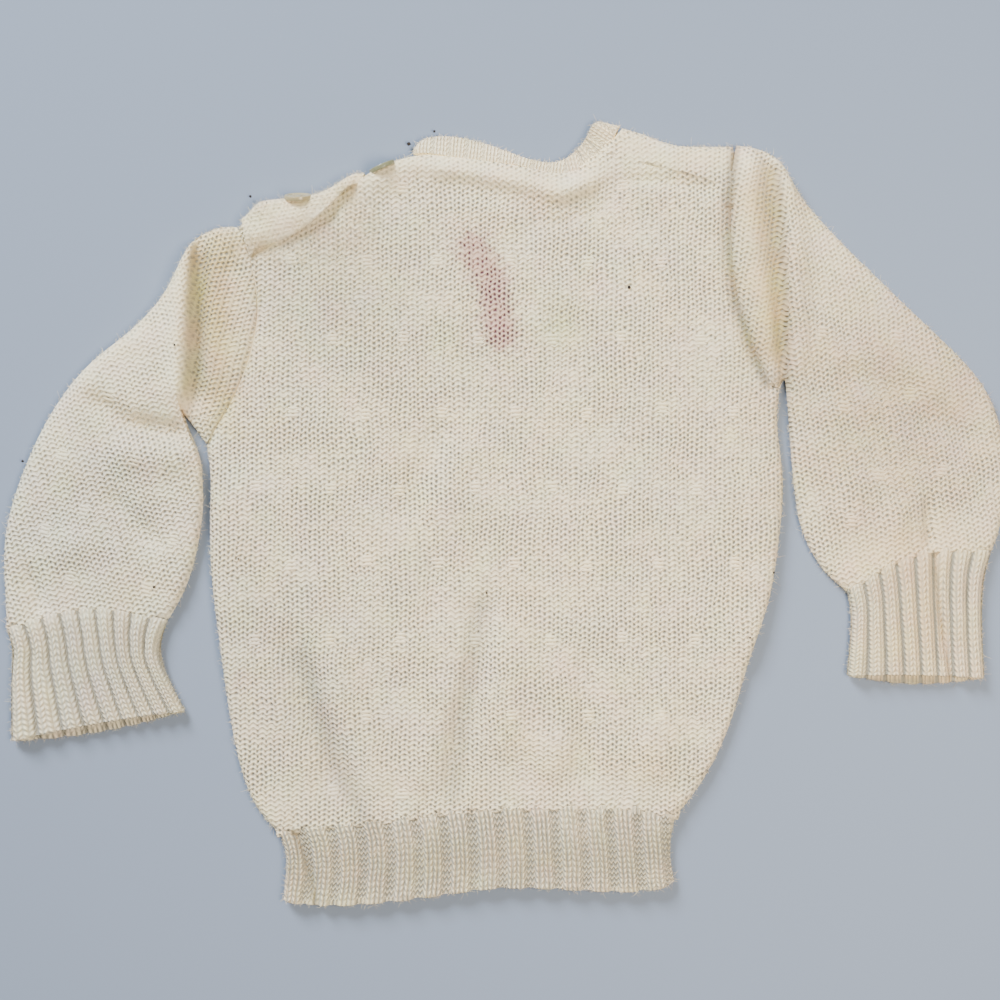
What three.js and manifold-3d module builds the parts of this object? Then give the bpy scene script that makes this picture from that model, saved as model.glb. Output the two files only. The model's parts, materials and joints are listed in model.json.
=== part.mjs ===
// A cream hand-knitted baby pullover, laid flat on a table with its back facing up.
//
// Frame: millimetres, +Z up, +Y towards the neck, +X towards the wearer's right sleeve.
// The garment rests on z = 0, and the whole is centred on the Z axis at the end.
//
// The front lies on the table and the back lies on it. They meet at the side folds,
// and the front's right shoulder wraps over the top edge to a seam on the upper side.
// The left shoulder is a buttoned opening: a band from the front wraps over a band on
// the back. Each sleeve and each cuff is one flattened tube, and a pleat at each
// armhole turns the sleeve down beside the body. Every wall is cloth thickness.

import * as THREE from "three";
import { mergeVertices } from "three/addons/utils/BufferGeometryUtils.js";
import Module from "manifold-3d";

const wasm = await Module();
wasm.setup();

// ---------------------------------------------------------------- driving dimensions
const WALL = 2.2; // one layer of plain knitting
const RIB_WALL = 2.6; // one layer of ribbing, which is thicker
const LOFT = 0.9; // air between two layers that lie on each other
const CLOTH_TOP = 2 * WALL + LOFT; // upper face of the upper layer
const FOLD_HEIGHT = CLOTH_TOP / 2; // where front and back meet at a side fold
const FOLD_REACH = 4.6; // how far in from its edge a fold is rounded
const SEAM = 0.3; // clearance between two pieces that are sewn together
const FOLD_ANGLES = [0, 45, 90].map(THREE.MathUtils.degToRad);

const COLOURS = {
  knit: "#e6dfcc",
  rib: "#e9e2cf",
  button: "#c9bd98",
};

// ---------------------------------------------------------------- small helpers
const mix = (a, b, t) => a + (b - a) * t;
const mixPoint = (a, b, t) => [mix(a[0], b[0], t), mix(a[1], b[1], t)];
const distance = (a, b) => Math.hypot(b[0] - a[0], b[1] - a[1]);
const smooth = (edge0, edge1, x) => THREE.MathUtils.smoothstep(x, edge0, edge1);
const range = (count) => Array.from({ length: count + 1 }, (_, i) => i / count);

// A smooth line through rows of numbers: at(u) gives the row at u from 0 to 1.
function through(rows) {
  const curve = new THREE.CatmullRomCurve3(
    rows.map(([x, y, z = 0]) => new THREE.Vector3(x, y, z)),
    false,
    "catmullrom",
    0.5,
  );
  return (u) => curve.getPoint(THREE.MathUtils.clamp(u, 0, 1)).toArray();
}

// The same line, but u is the share of its length.
function alongLength(rows) {
  const at = through(rows);
  const marks = range(200).map(at);
  const reached = [0];
  marks.slice(1).forEach((p, i) => reached.push(reached[i] + distance(marks[i], p)));
  const total = reached.at(-1);
  return (u) => {
    const want = THREE.MathUtils.clamp(u, 0, 1) * total;
    const i = Math.max(1, reached.findIndex((r) => r >= want - 1e-9));
    const t = (want - reached[i - 1]) / (reached[i] - reached[i - 1]);
    return mixPoint(marks[i - 1], marks[i], t);
  };
}

// ---------------------------------------------------------------- cloth walls
// A closed wall between two faces. outer[k][i] and inner[k][i] are points of row k.
// around says that each row closes on itself, as a tube's does.
function wallGeometry(outer, inner, around = false) {
  const rows = outer.length;
  const across = outer[0].length;
  const triangles = [];
  const quad = (a, b, c, d) => triangles.push(a, b, c, a, c, d);
  const last = around ? across : across - 1;
  for (let k = 0; k + 1 < rows; k += 1) {
    for (let i = 0; i < last; i += 1) {
      const j = (i + 1) % across;
      quad(outer[k][i], outer[k][j], outer[k + 1][j], outer[k + 1][i]);
      quad(inner[k][i], inner[k + 1][i], inner[k + 1][j], inner[k][j]);
    }
    if (!around) {
      const e = across - 1;
      quad(outer[k][0], outer[k + 1][0], inner[k + 1][0], inner[k][0]);
      quad(outer[k][e], inner[k][e], inner[k + 1][e], outer[k + 1][e]);
    }
  }
  for (let i = 0; i < last; i += 1) {
    const j = (i + 1) % across;
    const e = rows - 1;
    quad(outer[0][i], inner[0][i], inner[0][j], outer[0][j]);
    quad(outer[e][i], outer[e][j], inner[e][j], inner[e][i]);
  }
  if (signedVolume(triangles) < 0) {
    for (let i = 0; i < triangles.length; i += 3) {
      [triangles[i + 1], triangles[i + 2]] = [triangles[i + 2], triangles[i + 1]];
    }
  }
  const positions = new Float32Array(triangles.flat());
  return new THREE.BufferGeometry().setAttribute(
    "position",
    new THREE.BufferAttribute(positions, 3),
  );
}

function signedVolume(triangles) {
  let six = 0;
  for (let i = 0; i < triangles.length; i += 3) {
    const [a, b, c] = triangles.slice(i, i + 3).map((p) => new THREE.Vector3(...p));
    six += a.dot(b.cross(c));
  }
  return six / 6;
}

// ---------------------------------------------------------------- booleans
function toManifold(geometry) {
  const bare = geometry.index ? geometry.toNonIndexed() : geometry.clone();
  bare.deleteAttribute("normal");
  bare.deleteAttribute("uv");
  const merged = mergeVertices(bare, 1e-4);
  return new wasm.Manifold(
    new wasm.Mesh({
      numProp: 3,
      vertProperties: new Float32Array(merged.attributes.position.array),
      triVerts: new Uint32Array(merged.index.array),
    }),
  );
}

function toGeometry(solid) {
  const mesh = solid.getMesh();
  const positions = new Float32Array(mesh.numVert * 3);
  for (let i = 0; i < mesh.numVert; i += 1) {
    const from = i * mesh.numProp;
    positions.set(mesh.vertProperties.subarray(from, from + 3), i * 3);
  }
  return new THREE.BufferGeometry()
    .setAttribute("position", new THREE.BufferAttribute(positions, 3))
    .setIndex(new THREE.BufferAttribute(new Uint32Array(mesh.triVerts), 1));
}

// ---------------------------------------------------------------- the body's plan
// Outlines run from the hem upwards, and from -X to +X.
const LEFT_UNDERARM = [-135.7, 31.0];
const RIGHT_UNDERARM = [127.0, 57.0];

const LEFT_SIDE = [
  [-102.4, -146.6], [-108.6, -143.5], [-115.0, -134.3], [-121.0, -116.0], [-125.8, -90.0],
  [-129.4, -62.0], [-133.6, -33.0], [-134.6, -8.0], [-134.6, 8.0], [-133.0, 21.0],
  LEFT_UNDERARM,
];
const LEFT_ARMHOLE = [
  LEFT_UNDERARM, [-130.6, 41.0], [-124.0, 50.5], [-116.6, 66.0], [-112.0, 84.0],
  [-111.6, 101.0], [-115.6, 118.0], [-121.0, 131.0],
];
const RIGHT_SIDE = [
  [79.4, -138.8], [87.2, -132.0], [95.0, -118.5], [102.8, -104.9], [108.6, -82.0],
  [112.6, -67.0], [119.2, -49.0], [125.6, -34.5], [126.7, -18.0], [127.4, 1.8],
  [129.8, 14.5], [126.4, 31.0], [124.6, 45.0], RIGHT_UNDERARM,
];
const RIGHT_ARMHOLE = [
  RIGHT_UNDERARM, [119.8, 60.0], [112.4, 77.3], [105.4, 98.4], [102.7, 119.6], [102.6, 143.0],
  [104.0, 153.6], [106.6, 168.4],
];
const RIGHT_PANEL_SHARE = 0.835; // the panels use this much of the armhole, then the fold begins

// The line where the plain knitting meets the hem ribbing, and the hem's lower edge.
const HEM_TOP = [
  [-102.4, -146.6], [-88.0, -142.6], [-60.0, -141.0], [-25.0, -136.0], [18.0, -134.0],
  [48.0, -133.4], [66.0, -134.2], [79.4, -138.8],
];
const HEM_BOTTOM = [
  [-100.6, -176.8], [-88.0, -179.6], [-58.0, -178.2], [-30.0, -174.8], [-6.0, -171.4],
  [3.0, -171.0], [28.0, -171.8], [54.0, -173.0], [72.0, -172.0], [78.6, -168.6],
];
const HEM_LEFT = [
  [-102.4, -146.6], [-99.6, -153.0], [-98.6, -160.5], [-100.0, -170.0], [-100.6, -176.8],
];
const HEM_RIGHT = [
  [79.4, -138.8], [76.9, -147.7], [76.2, -155.9], [78.0, -162.4], [78.6, -168.6],
];

// The upper end of each panel: shoulder, neckline, shoulder.
const BACK_LEFT_SHOULDER = [
  [-121.0, 131.0], [-107.0, 137.0], [-93.0, 139.4], [-80.0, 143.2], [-70.0, 149.0],
  [-61.0, 156.0], [-50.0, 161.0], [-41.5, 164.0],
];
const BACK_NECKLINE = [
  [-41.5, 164.0], [-33.0, 164.2], [-20.0, 162.0], [-5.0, 160.4], [8.0, 158.6], [18.9, 155.6],
  [29.0, 154.2], [39.6, 157.0], [46.2, 163.6],
];
const RIGHT_SHOULDER_SEAM = [[46.2, 163.6], [57.0, 161.2], [80.0, 155.4], [103.0, 149.0]];
const FRONT_LEFT_SHOULDER = [
  [-121.0, 131.0], [-107.0, 133.5], [-93.0, 135.5], [-80.0, 139.2], [-70.0, 145.0],
  [-60.0, 150.6], [-48.0, 156.0],
];
const FRONT_NECKLINE = [
  [-48.0, 156.0], [-34.0, 149.0], [-11.0, 141.8], [16.5, 139.4], [40.0, 144.0], [54.5, 156.0],
  [57.0, 162.5],
];
const FRONT_RIGHT_SHOULDER = [[57.0, 162.5], [70.0, 160.5], [86.0, 155.4], [103.0, 149.0]];
// The shares of the width where a shoulder ends and the neckline starts.
const BACK_CORNERS = [0.36, 0.74];
const FRONT_CORNERS = [0.34, 0.79];

const UNDERARM_ROW = 0.62; // the share of a panel's height at the underarm
// Where the rows lie along the body's sides, and along an armhole on both its sides.
const SIDE_SHARES = [0, 0.1, 0.24, 0.38, 0.52, 0.66, 0.8, 0.92];
const ARMHOLE_SHARES = [0, 0.04, 0.11, 0.2, 0.3, 0.42, 0.54, 0.66, 0.78, 0.89, 0.96, 1];
const BODY_LEVELS = [
  ...SIDE_SHARES.map((u) => u * UNDERARM_ROW),
  ...ARMHOLE_SHARES.map((u) => mix(UNDERARM_ROW, 1, u)),
];
const BODY_FLATS = 14;

// One side of a panel, from the hem to the shoulder, of which the armhole's share is used.
function sideLine(side, armhole, armholeShare) {
  const low = alongLength(side);
  const high = alongLength(armhole);
  return (s) =>
    s < UNDERARM_ROW
      ? low(s / UNDERARM_ROW)
      : high((armholeShare * (s - UNDERARM_ROW)) / (1 - UNDERARM_ROW));
}

// Three lines end to end as one line from 0 to 1, with their corners at two shares.
function threeLines(first, second, third, [corner1, corner2]) {
  const [a, b, c] = [first, second, third].map(alongLength);
  return (t) => {
    if (t <= corner1) return a(t / corner1);
    if (t <= corner2) return b((t - corner1) / (corner2 - corner1));
    return c((t - corner2) / (1 - corner2));
  };
}

// Where share s of the height and share t of the width lie on a panel's plan.
function panelPlan(topLine) {
  const left = sideLine(LEFT_SIDE, LEFT_ARMHOLE, 1);
  const right = sideLine(RIGHT_SIDE, RIGHT_ARMHOLE, RIGHT_PANEL_SHARE);
  const hem = alongLength(HEM_TOP);
  return (s, t) => {
    const middle = mixPoint(left(s), right(s), t);
    const hemChord = mixPoint(hem(0), hem(1), t);
    const topChord = mixPoint(left(1), right(1), t);
    const low = (1 - s) ** 4;
    const high = s ** 5;
    return [0, 1].map(
      (axis) =>
        middle[axis] +
        low * (hem(t)[axis] - hemChord[axis]) +
        high * (topLine(t)[axis] - topChord[axis]),
    );
  };
}

// ---------------------------------------------------------------- heights
// Soft folds of the upper layer, each [from, to, half width, height] in plan.
const BODY_FOLDS = [
  [[-30, 158], [0, 152], 9, 1.0], // over the front's neckband
  [[0, 152], [26, 146], 9, 1.5],
  [[26, 146], [48, 153], 9, 1.5],
  [[-96, -52], [-84, -104], 10, -1.3], // long troughs above the hem
  [[-84, -104], [-68, -134], 10, -1.3],
  [[-9, -40], [-17, -92], 9, -1.3],
  [[-17, -92], [-24, -128], 9, -1.3],
  [[37, -66], [36, -122], 9, -0.8],
  [[-28, 36], [-44, 0], 11, -0.6],
];
const BODY_LOFT = 1.9; // how far the back stands off the front in its middle
const LOWEST_LIFT = -0.5; // a trough stops short of the layer below
const LOFT_REACH = 0.24; // the share of the width or height over which it rises

// How high the folds lift the cloth at a plan point.
function foldLift(point, folds) {
  return folds.reduce((sum, [from, to, halfWidth, height]) => {
    const run = [to[0] - from[0], to[1] - from[1]];
    const share =
      ((point[0] - from[0]) * run[0] + (point[1] - from[1]) * run[1]) /
      (run[0] ** 2 + run[1] ** 2);
    const foot = mixPoint(from, to, THREE.MathUtils.clamp(share, 0, 1));
    return sum + height * Math.exp(-((distance(point, foot) / halfWidth) ** 2));
  }, 0);
}

// Rises from 0 at both ends of a run to 1 in its middle.
const hump = (share, reach) => smooth(0, reach, share) * smooth(0, reach, 1 - share);

function bodyLift(point, s, t) {
  const loft = BODY_LOFT * hump(s, LOFT_REACH) * hump(t, LOFT_REACH);
  const edges = hump(t, 0.08) * hump(s, 0.03);
  return Math.max(LOWEST_LIFT, loft + edges * foldLift(point, BODY_FOLDS));
}

// The shares across a row: a rounded edge, the flat between, and the other rounded edge.
// foldShare is 1 where the edges are folds, and 0 where they are cut and sewn.
function acrossShares(width, inset, reach, flats, foldShare) {
  const edge = FOLD_ANGLES.map(
    (angle, i) => inset + mix(i * 2.2, reach * (1 - Math.cos(angle)), foldShare),
  );
  const start = edge.at(-1) / width;
  const flat = Array.isArray(flats)
    ? flats
    : range(flats).slice(1, -1).map((u) => mix(start, 1 - start, u));
  return [
    ...edge.map((d) => d / width),
    ...flat,
    ...edge.map((d) => 1 - d / width).reverse(),
  ];
}

// The rise of each of those shares from the fold's middle, 0 at the fold and 1 on the flat.
function rises(shares, foldShare) {
  const edge = FOLD_ANGLES.map((angle) => mix(1, Math.sin(angle), foldShare));
  const flat = Array(shares.length - 2 * edge.length).fill(1);
  return [...edge, ...flat, ...[...edge].reverse()];
}

// ---------------------------------------------------------------- front, back and hems
// A panel over a plan. side is +1 for the upper layer and -1 for the lower one, levels are
// its rows, foldShare(s) says which rows end in side folds, and lift is the upper face's.
function panelGeometry(plan, { side, levels, flats, wall, foldShare, lift }) {
  const outer = [];
  const inner = [];
  for (const s of levels) {
    const folded = foldShare(s);
    const width = distance(plan(s, 0), plan(s, 1));
    const lines = [
      [outer, SEAM / 2, FOLD_REACH, 0],
      [inner, SEAM / 2 + wall * folded, FOLD_REACH - wall, wall],
    ];
    for (const [rows, inset, reach, depth] of lines) {
      const shares = acrossShares(width, inset, reach, flats, folded);
      const rise = rises(shares, folded);
      rows.push(
        shares.map((t, i) => {
          const [x, y] = plan(s, t);
          const start = FOLD_HEIGHT + (side * SEAM) / 2;
          const level = side > 0 ? CLOTH_TOP - depth + lift([x, y], s, t) : depth;
          return [x, y, mix(start, level, rise[i])];
        }),
      );
    }
  }
  return wallGeometry(outer, inner);
}

// The same levels, kept clear of the seams at both ends of a run of this length.
const clearOfSeams = (levels, length) =>
  levels.map((s) => mix(SEAM / 2 / length, 1 - SEAM / 2 / length, s));

function bodyPanel(topLine, side) {
  const plan = panelPlan(topLine);
  return panelGeometry(plan, {
    side,
    levels: clearOfSeams(BODY_LEVELS, distance(plan(0, 0.5), plan(1, 0.5))),
    flats: BODY_FLATS,
    wall: WALL,
    foldShare: (s) => (s <= UNDERARM_ROW + 0.001 ? 1 : 0),
    lift: side > 0 ? bodyLift : () => 0,
  });
}

function backGeometry() {
  const top = threeLines(BACK_LEFT_SHOULDER, BACK_NECKLINE, RIGHT_SHOULDER_SEAM, BACK_CORNERS);
  return bodyPanel(top, 1);
}

// The front is its flat panel and the shoulder that wraps over the top edge, in one piece.
function frontGeometry() {
  const top = threeLines(
    FRONT_LEFT_SHOULDER, FRONT_NECKLINE, FRONT_RIGHT_SHOULDER, FRONT_CORNERS,
  );
  return toGeometry(toManifold(bodyPanel(top, -1)).add(toManifold(rightShoulderGeometry())));
}

const HEM_LEVELS = [0, 0.3, 0.65, 1];
const HEM_FLATS = 13;
const HEM_HEIGHT = 35;

function hemGeometry(side) {
  const [top, bottom, left, right] = [HEM_TOP, HEM_BOTTOM, HEM_LEFT, HEM_RIGHT].map(alongLength);
  const plan = (s, t) => {
    const between = mixPoint(top(t), bottom(t), s);
    const sides = mixPoint(left(s), right(s), t);
    const ends = mixPoint(mixPoint(top(0), bottom(0), s), mixPoint(top(1), bottom(1), s), t);
    return [0, 1].map((axis) => between[axis] + sides[axis] - ends[axis]);
  };
  return panelGeometry(plan, {
    side,
    levels: HEM_LEVELS.map((s) => mix(SEAM / 2 / HEM_HEIGHT, 1, s)),
    flats: HEM_FLATS,
    wall: RIB_WALL,
    foldShare: () => 1,
    lift: () => 0,
  });
}

// ---------------------------------------------------------------- sleeves and cuffs
// A course is one row of a sleeve's knitting, from its inner edge to its outer edge:
// [inner x, inner y], [outer x, outer y], bow towards the shoulder, lift of the upper layer.
const LEFT_SLEEVE = {
  turn: -1,
  armhole: LEFT_ARMHOLE,
  courses: [
    [LEFT_UNDERARM, [-121.0, 131.0], 14.0, 0.0], // armhole seam
    [[-139.2, 36.2], [-128.0, 131.6], 2.0, 0.7], // ridge of the strip beside the seam
    [[-143.6, 41.8], [-135.6, 129.0], 1.0, -0.5], // valley of the pleat
    [[-146.4, 45.4], [-140.6, 126.4], -0.6, 3.0], // face of the fold over the valley
    [[-147.4, 45.8], [-144.6, 122.0], -0.6, 4.4], // crest of the pleat
    [[-147.4, 41.4], [-151.6, 106.0], 0.0, 4.0],
    [[-143.6, 35.2], [-159.6, 94.4], 0.0, 3.2],
    [[-139.6, 29.6], [-175.0, 80.0], 0.0, 2.4],
    [[-137.7, 22.6], [-192.0, 67.6], 0.0, 2.0],
    [[-137.0, 13.0], [-210.0, 43.0], 0.0, 1.6],
    [[-137.2, 0.0], [-223.4, 11.0], 0.0, 1.2], // elbow
    [[-139.8, -17.0], [-229.4, -13.0], 3.0, 0.9],
    [[-144.6, -34.5], [-227.8, -37.0], 6.0, 0.6],
    [[-153.4, -49.2], [-227.3, -53.4], 9.0, 0.2], // cuff line
  ],
  folds: [
    [[-184, 48], [-166, 39], 8, -1.6],
    [[-166, 39], [-146, 36], 7, -1.8],
    [[-180, 10], [-158, -10], 8, -1.0],
  ],
};
const LEFT_CUFF = {
  turn: -1,
  courses: [
    [[-153.4, -49.2], [-227.3, -53.4], 9.0, 0.2],
    [[-157.0, -59.0], [-224.2, -63.4], 6.0, 0.2],
    [[-156.0, -70.4], [-225.4, -76.0], 4.0, 0.0],
    [[-145.6, -90.6], [-225.2, -104.6], 1.5, 0.0],
  ],
  folds: [],
};
const RIGHT_SLEEVE = {
  turn: 1,
  armhole: RIGHT_ARMHOLE,
  courses: [
    [RIGHT_UNDERARM, [106.6, 168.4], 10.0, 0.0], // armhole seam
    [[127.8, 58.6], [114.0, 168.0], 7.0, 0.7], // ridge of the strip beside the seam
    [[128.4, 60.0], [121.4, 165.2], 1.2, -0.5], // valley of the pleat
    [[128.9, 60.8], [125.2, 163.2], -0.6, 3.0], // face of the fold over the valley
    [[129.6, 60.4], [129.0, 159.4], -1.2, 4.4], // crest of the pleat
    [[130.2, 54.4], [134.6, 147.0], -1.0, 4.0],
    [[130.8, 46.0], [144.4, 135.6], 0.0, 3.2],
    [[131.3, 36.6], [160.0, 119.4], 0.0, 2.5],
    [[132.0, 26.0], [181.0, 98.6], 0.0, 2.0],
    [[132.8, 14.4], [203.0, 78.0], 0.0, 1.6],
    [[134.2, 3.0], [223.4, 57.6], 0.0, 1.3], // elbow
    [[137.0, -8.6], [230.6, 31.0], 0.0, 1.0],
    [[142.6, -20.6], [230.4, 7.0], 3.0, 0.7],
    [[149.6, -29.4], [227.6, -8.6], 6.0, 0.4],
    [[157.6, -35.6], [224.0, -17.4], 9.0, 0.2], // cuff line
  ],
  folds: [
    [[152, 62], [196, 50], 9, -1.4],
    [[190, 46], [222, 28], 9, -1.4],
    [[198, -6], [201, -30], 6, -1.4],
  ],
};
const RIGHT_CUFF = {
  turn: 1,
  courses: [
    [[157.6, -35.6], [224.0, -17.4], 9.0, 0.2],
    [[159.8, -45.4], [220.2, -30.4], 5.5, 0.2],
    [[159.4, -57.4], [219.4, -47.4], 2.5, 0.0],
    [[157.6, -74.4], [220.8, -75.6], 1.0, 0.0],
  ],
  folds: [[[201, -26], [202, -76], 6, -1.2]],
};
const CUFF_LEVELS = [0, 0.3, 0.62, 0.9, 1];
const CUFF_FLATS = 9;
const CUFF_LENGTH = 44;
const CUFF_PEEK = 4.2; // how far a cuff's lower layer shows past the upper one

// Where share s along a run of courses and share t of a course lie in plan, and its lift.
function coursePlan({ turn, courses, armhole, folds }) {
  const inner = through(courses.map(([a]) => a));
  const outer = through(courses.map(([, b]) => b));
  const shape = through(courses.map(([, , bow, lift]) => [bow, lift]));
  const seam = armhole && alongLength(armhole);
  const bowed = (s, t) => {
    const [a, b] = [inner(s), outer(s)];
    const push = (-turn * shape(s)[0] * 4 * t * (1 - t)) / distance(a, b);
    const [x, y] = mixPoint(a, b, t);
    return [x + (b[1] - a[1]) * push, y - (b[0] - a[0]) * push];
  };
  const point = (s, t) => {
    const [x, y] = bowed(s, t);
    if (!seam) return [x, y];
    const fade = Math.max(0, 1 - s * (courses.length - 1)) ** 2;
    const [chord, sewn] = [bowed(0, t), seam(t)];
    return [x + fade * (sewn[0] - chord[0]), y + fade * (sewn[1] - chord[1])];
  };
  return {
    point,
    lift: (s, t) =>
      shape(s)[1] * Math.sqrt(Math.max(0, Math.sin(Math.PI * t))) +
      hump(s, 0.03) * hump(t, 0.08) * foldLift(point(s, t), folds),
    width: (s) => distance(inner(s), outer(s)),
  };
}

// A flattened tube: each row is a ring over the top from the inner edge and back below.
function tubeGeometry(shape, { levels, flats, wall, peek = 0 }) {
  const plan = coursePlan(shape);
  const outer = [];
  const inner = [];
  for (const s of levels) {
    const width = plan.width(s);
    const ring = (inset, reach, top, bottom) => {
      const shares = acrossShares(width, inset, reach, flats, 1);
      const rise = rises(shares, 1);
      const upper = shares.map((t, i) => {
        const [x, y] = plan.point(s, t);
        return [x, y, mix(FOLD_HEIGHT, top(t), rise[i])];
      });
      const lower = shares.map((t, i) => {
        const [x, y] = plan.point(s, t);
        const back = plan.point(Math.max(0, s - 0.1), t);
        const push = (peek * s ** 6 * Math.sin(Math.PI * t)) / distance(back, [x, y]);
        const level = mix(FOLD_HEIGHT, bottom, rise[i]);
        return [x + (x - back[0]) * push, y + (y - back[1]) * push, level];
      });
      return [...upper, ...lower.slice(1, -1).reverse()];
    };
    outer.push(ring(0, FOLD_REACH, (t) => CLOTH_TOP + plan.lift(s, t), 0));
    inner.push(ring(wall, FOLD_REACH - wall, (t) => CLOTH_TOP + plan.lift(s, t) - wall, wall));
  }
  return wallGeometry(outer, inner, true);
}

// A sleeve has its rows on its courses, with the first and last moved clear of the seams.
const ARMHOLE_CLEARANCE = 0.06; // of the space between the first two courses
const CUFF_CLEARANCE = 0.02; // of the space between the last two

function sleeveGeometry(shape) {
  const last = shape.courses.length - 1;
  const levels = range(last);
  levels[0] = ARMHOLE_CLEARANCE / last;
  levels[last] = 1 - CUFF_CLEARANCE / last;
  return tubeGeometry(shape, { levels, flats: ARMHOLE_SHARES.slice(2, -2), wall: WALL });
}

function cuffGeometry(shape) {
  const levels = CUFF_LEVELS.map((s) => Math.max(s, SEAM / CUFF_LENGTH));
  return tubeGeometry(shape, { levels, flats: CUFF_FLATS, wall: WALL, peek: CUFF_PEEK });
}

// ---------------------------------------------------------------- shoulders
// A strip folded over the garment's top edge. Each station gives the fold's edge, the end
// of the upper leg and the end of the lower leg, in plan.
function foldedStrip(stations, { height, wall, base = 0 }) {
  const edge = through(stations.map(([a]) => a));
  const upperEnd = through(stations.map(([, b]) => b));
  const lowerEnd = through(stations.map(([, , c]) => c));
  const middle = base + height / 2;
  const arc = [-90, -45, 0, 45, 90].map(THREE.MathUtils.degToRad);
  const outer = [];
  const inner = [];
  for (const u of range(stations.length * 2 - 2)) {
    const [tip, up, low] = [edge(u), upperEnd(u), lowerEnd(u)];
    const line = (reach, half) => {
      const inset = FOLD_REACH - reach;
      const turn = (end, angle) => {
        const run = distance(tip, end);
        const back = (inset + reach * (1 - Math.cos(angle))) / run;
        const [x, y] = mixPoint(tip, end, back);
        return [x, y, middle + half * Math.sin(angle)];
      };
      return [
        [low[0], low[1], middle - half],
        ...arc.map((angle) => turn(angle < 0 ? low : up, angle)),
        [up[0], up[1], middle + half],
      ];
    };
    outer.push(line(FOLD_REACH, height / 2));
    inner.push(line(FOLD_REACH - wall, height / 2 - wall));
  }
  return wallGeometry(outer, inner);
}

// The front's right shoulder, from the neck to the armhole. The lower leg runs into the
// front panel, and the upper leg ends at the shoulder seam.
const RIGHT_SHOULDER = [
  [[54.8, 176.4], [47.0, 164.1], [57.4, 158.0]],
  [[64.0, 173.8], [57.4, 161.7], [66.0, 156.4]],
  [[78.0, 168.6], [80.2, 155.9], [80.0, 152.6]],
  [[92.0, 168.0], [92.4, 152.6], [92.0, 148.6]],
  [[105.6, 168.0], [103.0, 149.7], [102.0, 147.2]],
];
const rightShoulderGeometry = () =>
  foldedStrip(RIGHT_SHOULDER, { height: CLOTH_TOP, wall: WALL });

// The buttonhole band, sewn to the front's left shoulder and folded over the top edge.
const BAND_HEIGHT = CLOTH_TOP + WALL + 2 * SEAM;
const BUTTONHOLE_BAND = [
  [[-119.6, 140.0], [-115.8, 120.0], [-119.2, 132.8]],
  [[-107.0, 143.6], [-104.4, 123.4], [-106.4, 135.2]],
  [[-93.0, 144.4], [-92.0, 129.0], [-92.6, 137.2]],
  [[-81.0, 147.8], [-80.4, 138.6], [-80.0, 140.8]],
  [[-71.4, 153.8], [-72.0, 147.4], [-70.0, 146.4]],
  [[-63.0, 159.0], [-64.6, 152.6], [-61.8, 151.6]],
];
const buttonholeBandGeometry = () =>
  foldedStrip(BUTTONHOLE_BAND, { height: BAND_HEIGHT, wall: WALL });

// ---------------------------------------------------------------- neckband
// Stations of the band from the left shoulder, along the back, over the right shoulder
// and along the front: [seam edge], [free edge], height of each edge's middle, turn.
// The turn is the angle of the band's outer face from straight up.
const NECKBAND = [
  [[-41.0, 164.8], [-39.4, 168.6], 4.2, 3.4, 0],
  [[-33.0, 165.0], [-34.0, 172.2], 4.0, 2.8, 0],
  [[-20.0, 162.9], [-21.0, 172.4], 3.9, 2.4, 0],
  [[-5.0, 161.3], [-5.0, 168.4], 3.9, 2.4, 0],
  [[8.0, 159.5], [8.4, 163.4], 4.0, 2.6, 0],
  [[18.9, 156.6], [18.0, 161.0], 4.0, 2.6, 0],
  [[29.0, 155.7], [26.6, 161.2], 4.0, 2.6, 0],
  [[38.4, 158.3], [33.4, 165.8], 4.0, 2.8, 0],
  [[45.4, 164.6], [38.0, 171.4], 4.1, 3.4, 0],
  [[50.6, 172.6], [40.4, 176.6], 4.0, 4.0, 25],
  [[53.2, 176.8], [43.4, 179.2], 2.65, 2.65, 90],
  [[52.4, 173.2], [40.2, 174.0], 1.4, 1.4, 160],
  [[53.4, 163.6], [39.6, 166.4], 1.3, 1.3, 180],
  [[49.4, 152.0], [35.6, 157.4], 1.3, 1.3, 180],
  [[38.4, 144.6], [30.6, 153.0], 1.3, 1.3, 180],
  [[16.4, 140.0], [16.6, 150.0], 1.3, 1.3, 180],
  [[-10.6, 142.4], [-8.0, 152.0], 1.3, 1.3, 180],
  [[-33.4, 149.8], [-28.6, 158.6], 1.3, 1.3, 180],
  [[-46.6, 156.6], [-40.6, 163.4], 1.3, 1.3, 180],
];
const NECKBAND_ROWS = 36;
const EDGE_THINNING = 0.35; // the share of the wall that the band's edges lose

function neckbandGeometry() {
  const seam = through(NECKBAND.map(([a]) => a));
  const free = through(NECKBAND.map(([, b]) => b));
  const level = through(NECKBAND.map(([, , low, high]) => [low, high]));
  const turn = through(NECKBAND.map(([, , , , angle]) => [angle, 0]));
  const outer = [];
  const inner = [];
  for (const u of range(NECKBAND_ROWS)) {
    const angle = THREE.MathUtils.degToRad(THREE.MathUtils.clamp(turn(u)[0], 0, 180));
    const [a, b] = [seam(u), free(u)];
    const ahead = seam(Math.min(1, u + 0.01));
    const behind = seam(Math.max(0, u - 0.01));
    const step = distance(behind, ahead) || 1;
    const forward = [(ahead[0] - behind[0]) / step, (ahead[1] - behind[1]) / step];
    const [seamLevel, freeLevel] = level(u);
    const row = (side) =>
      range(4).map((t) => {
        const [x, y] = mixPoint(a, b, t);
        const half = (side * WALL * (1 - EDGE_THINNING * (2 * t - 1) ** 4)) / 2;
        const out = half * Math.sin(angle);
        const lift = half * Math.cos(angle);
        return [x + forward[0] * out, y + forward[1] * out, mix(seamLevel, freeLevel, t) + lift];
      });
    outer.push(row(1));
    inner.push(row(-1));
  }
  return wallGeometry(outer, inner);
}

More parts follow.
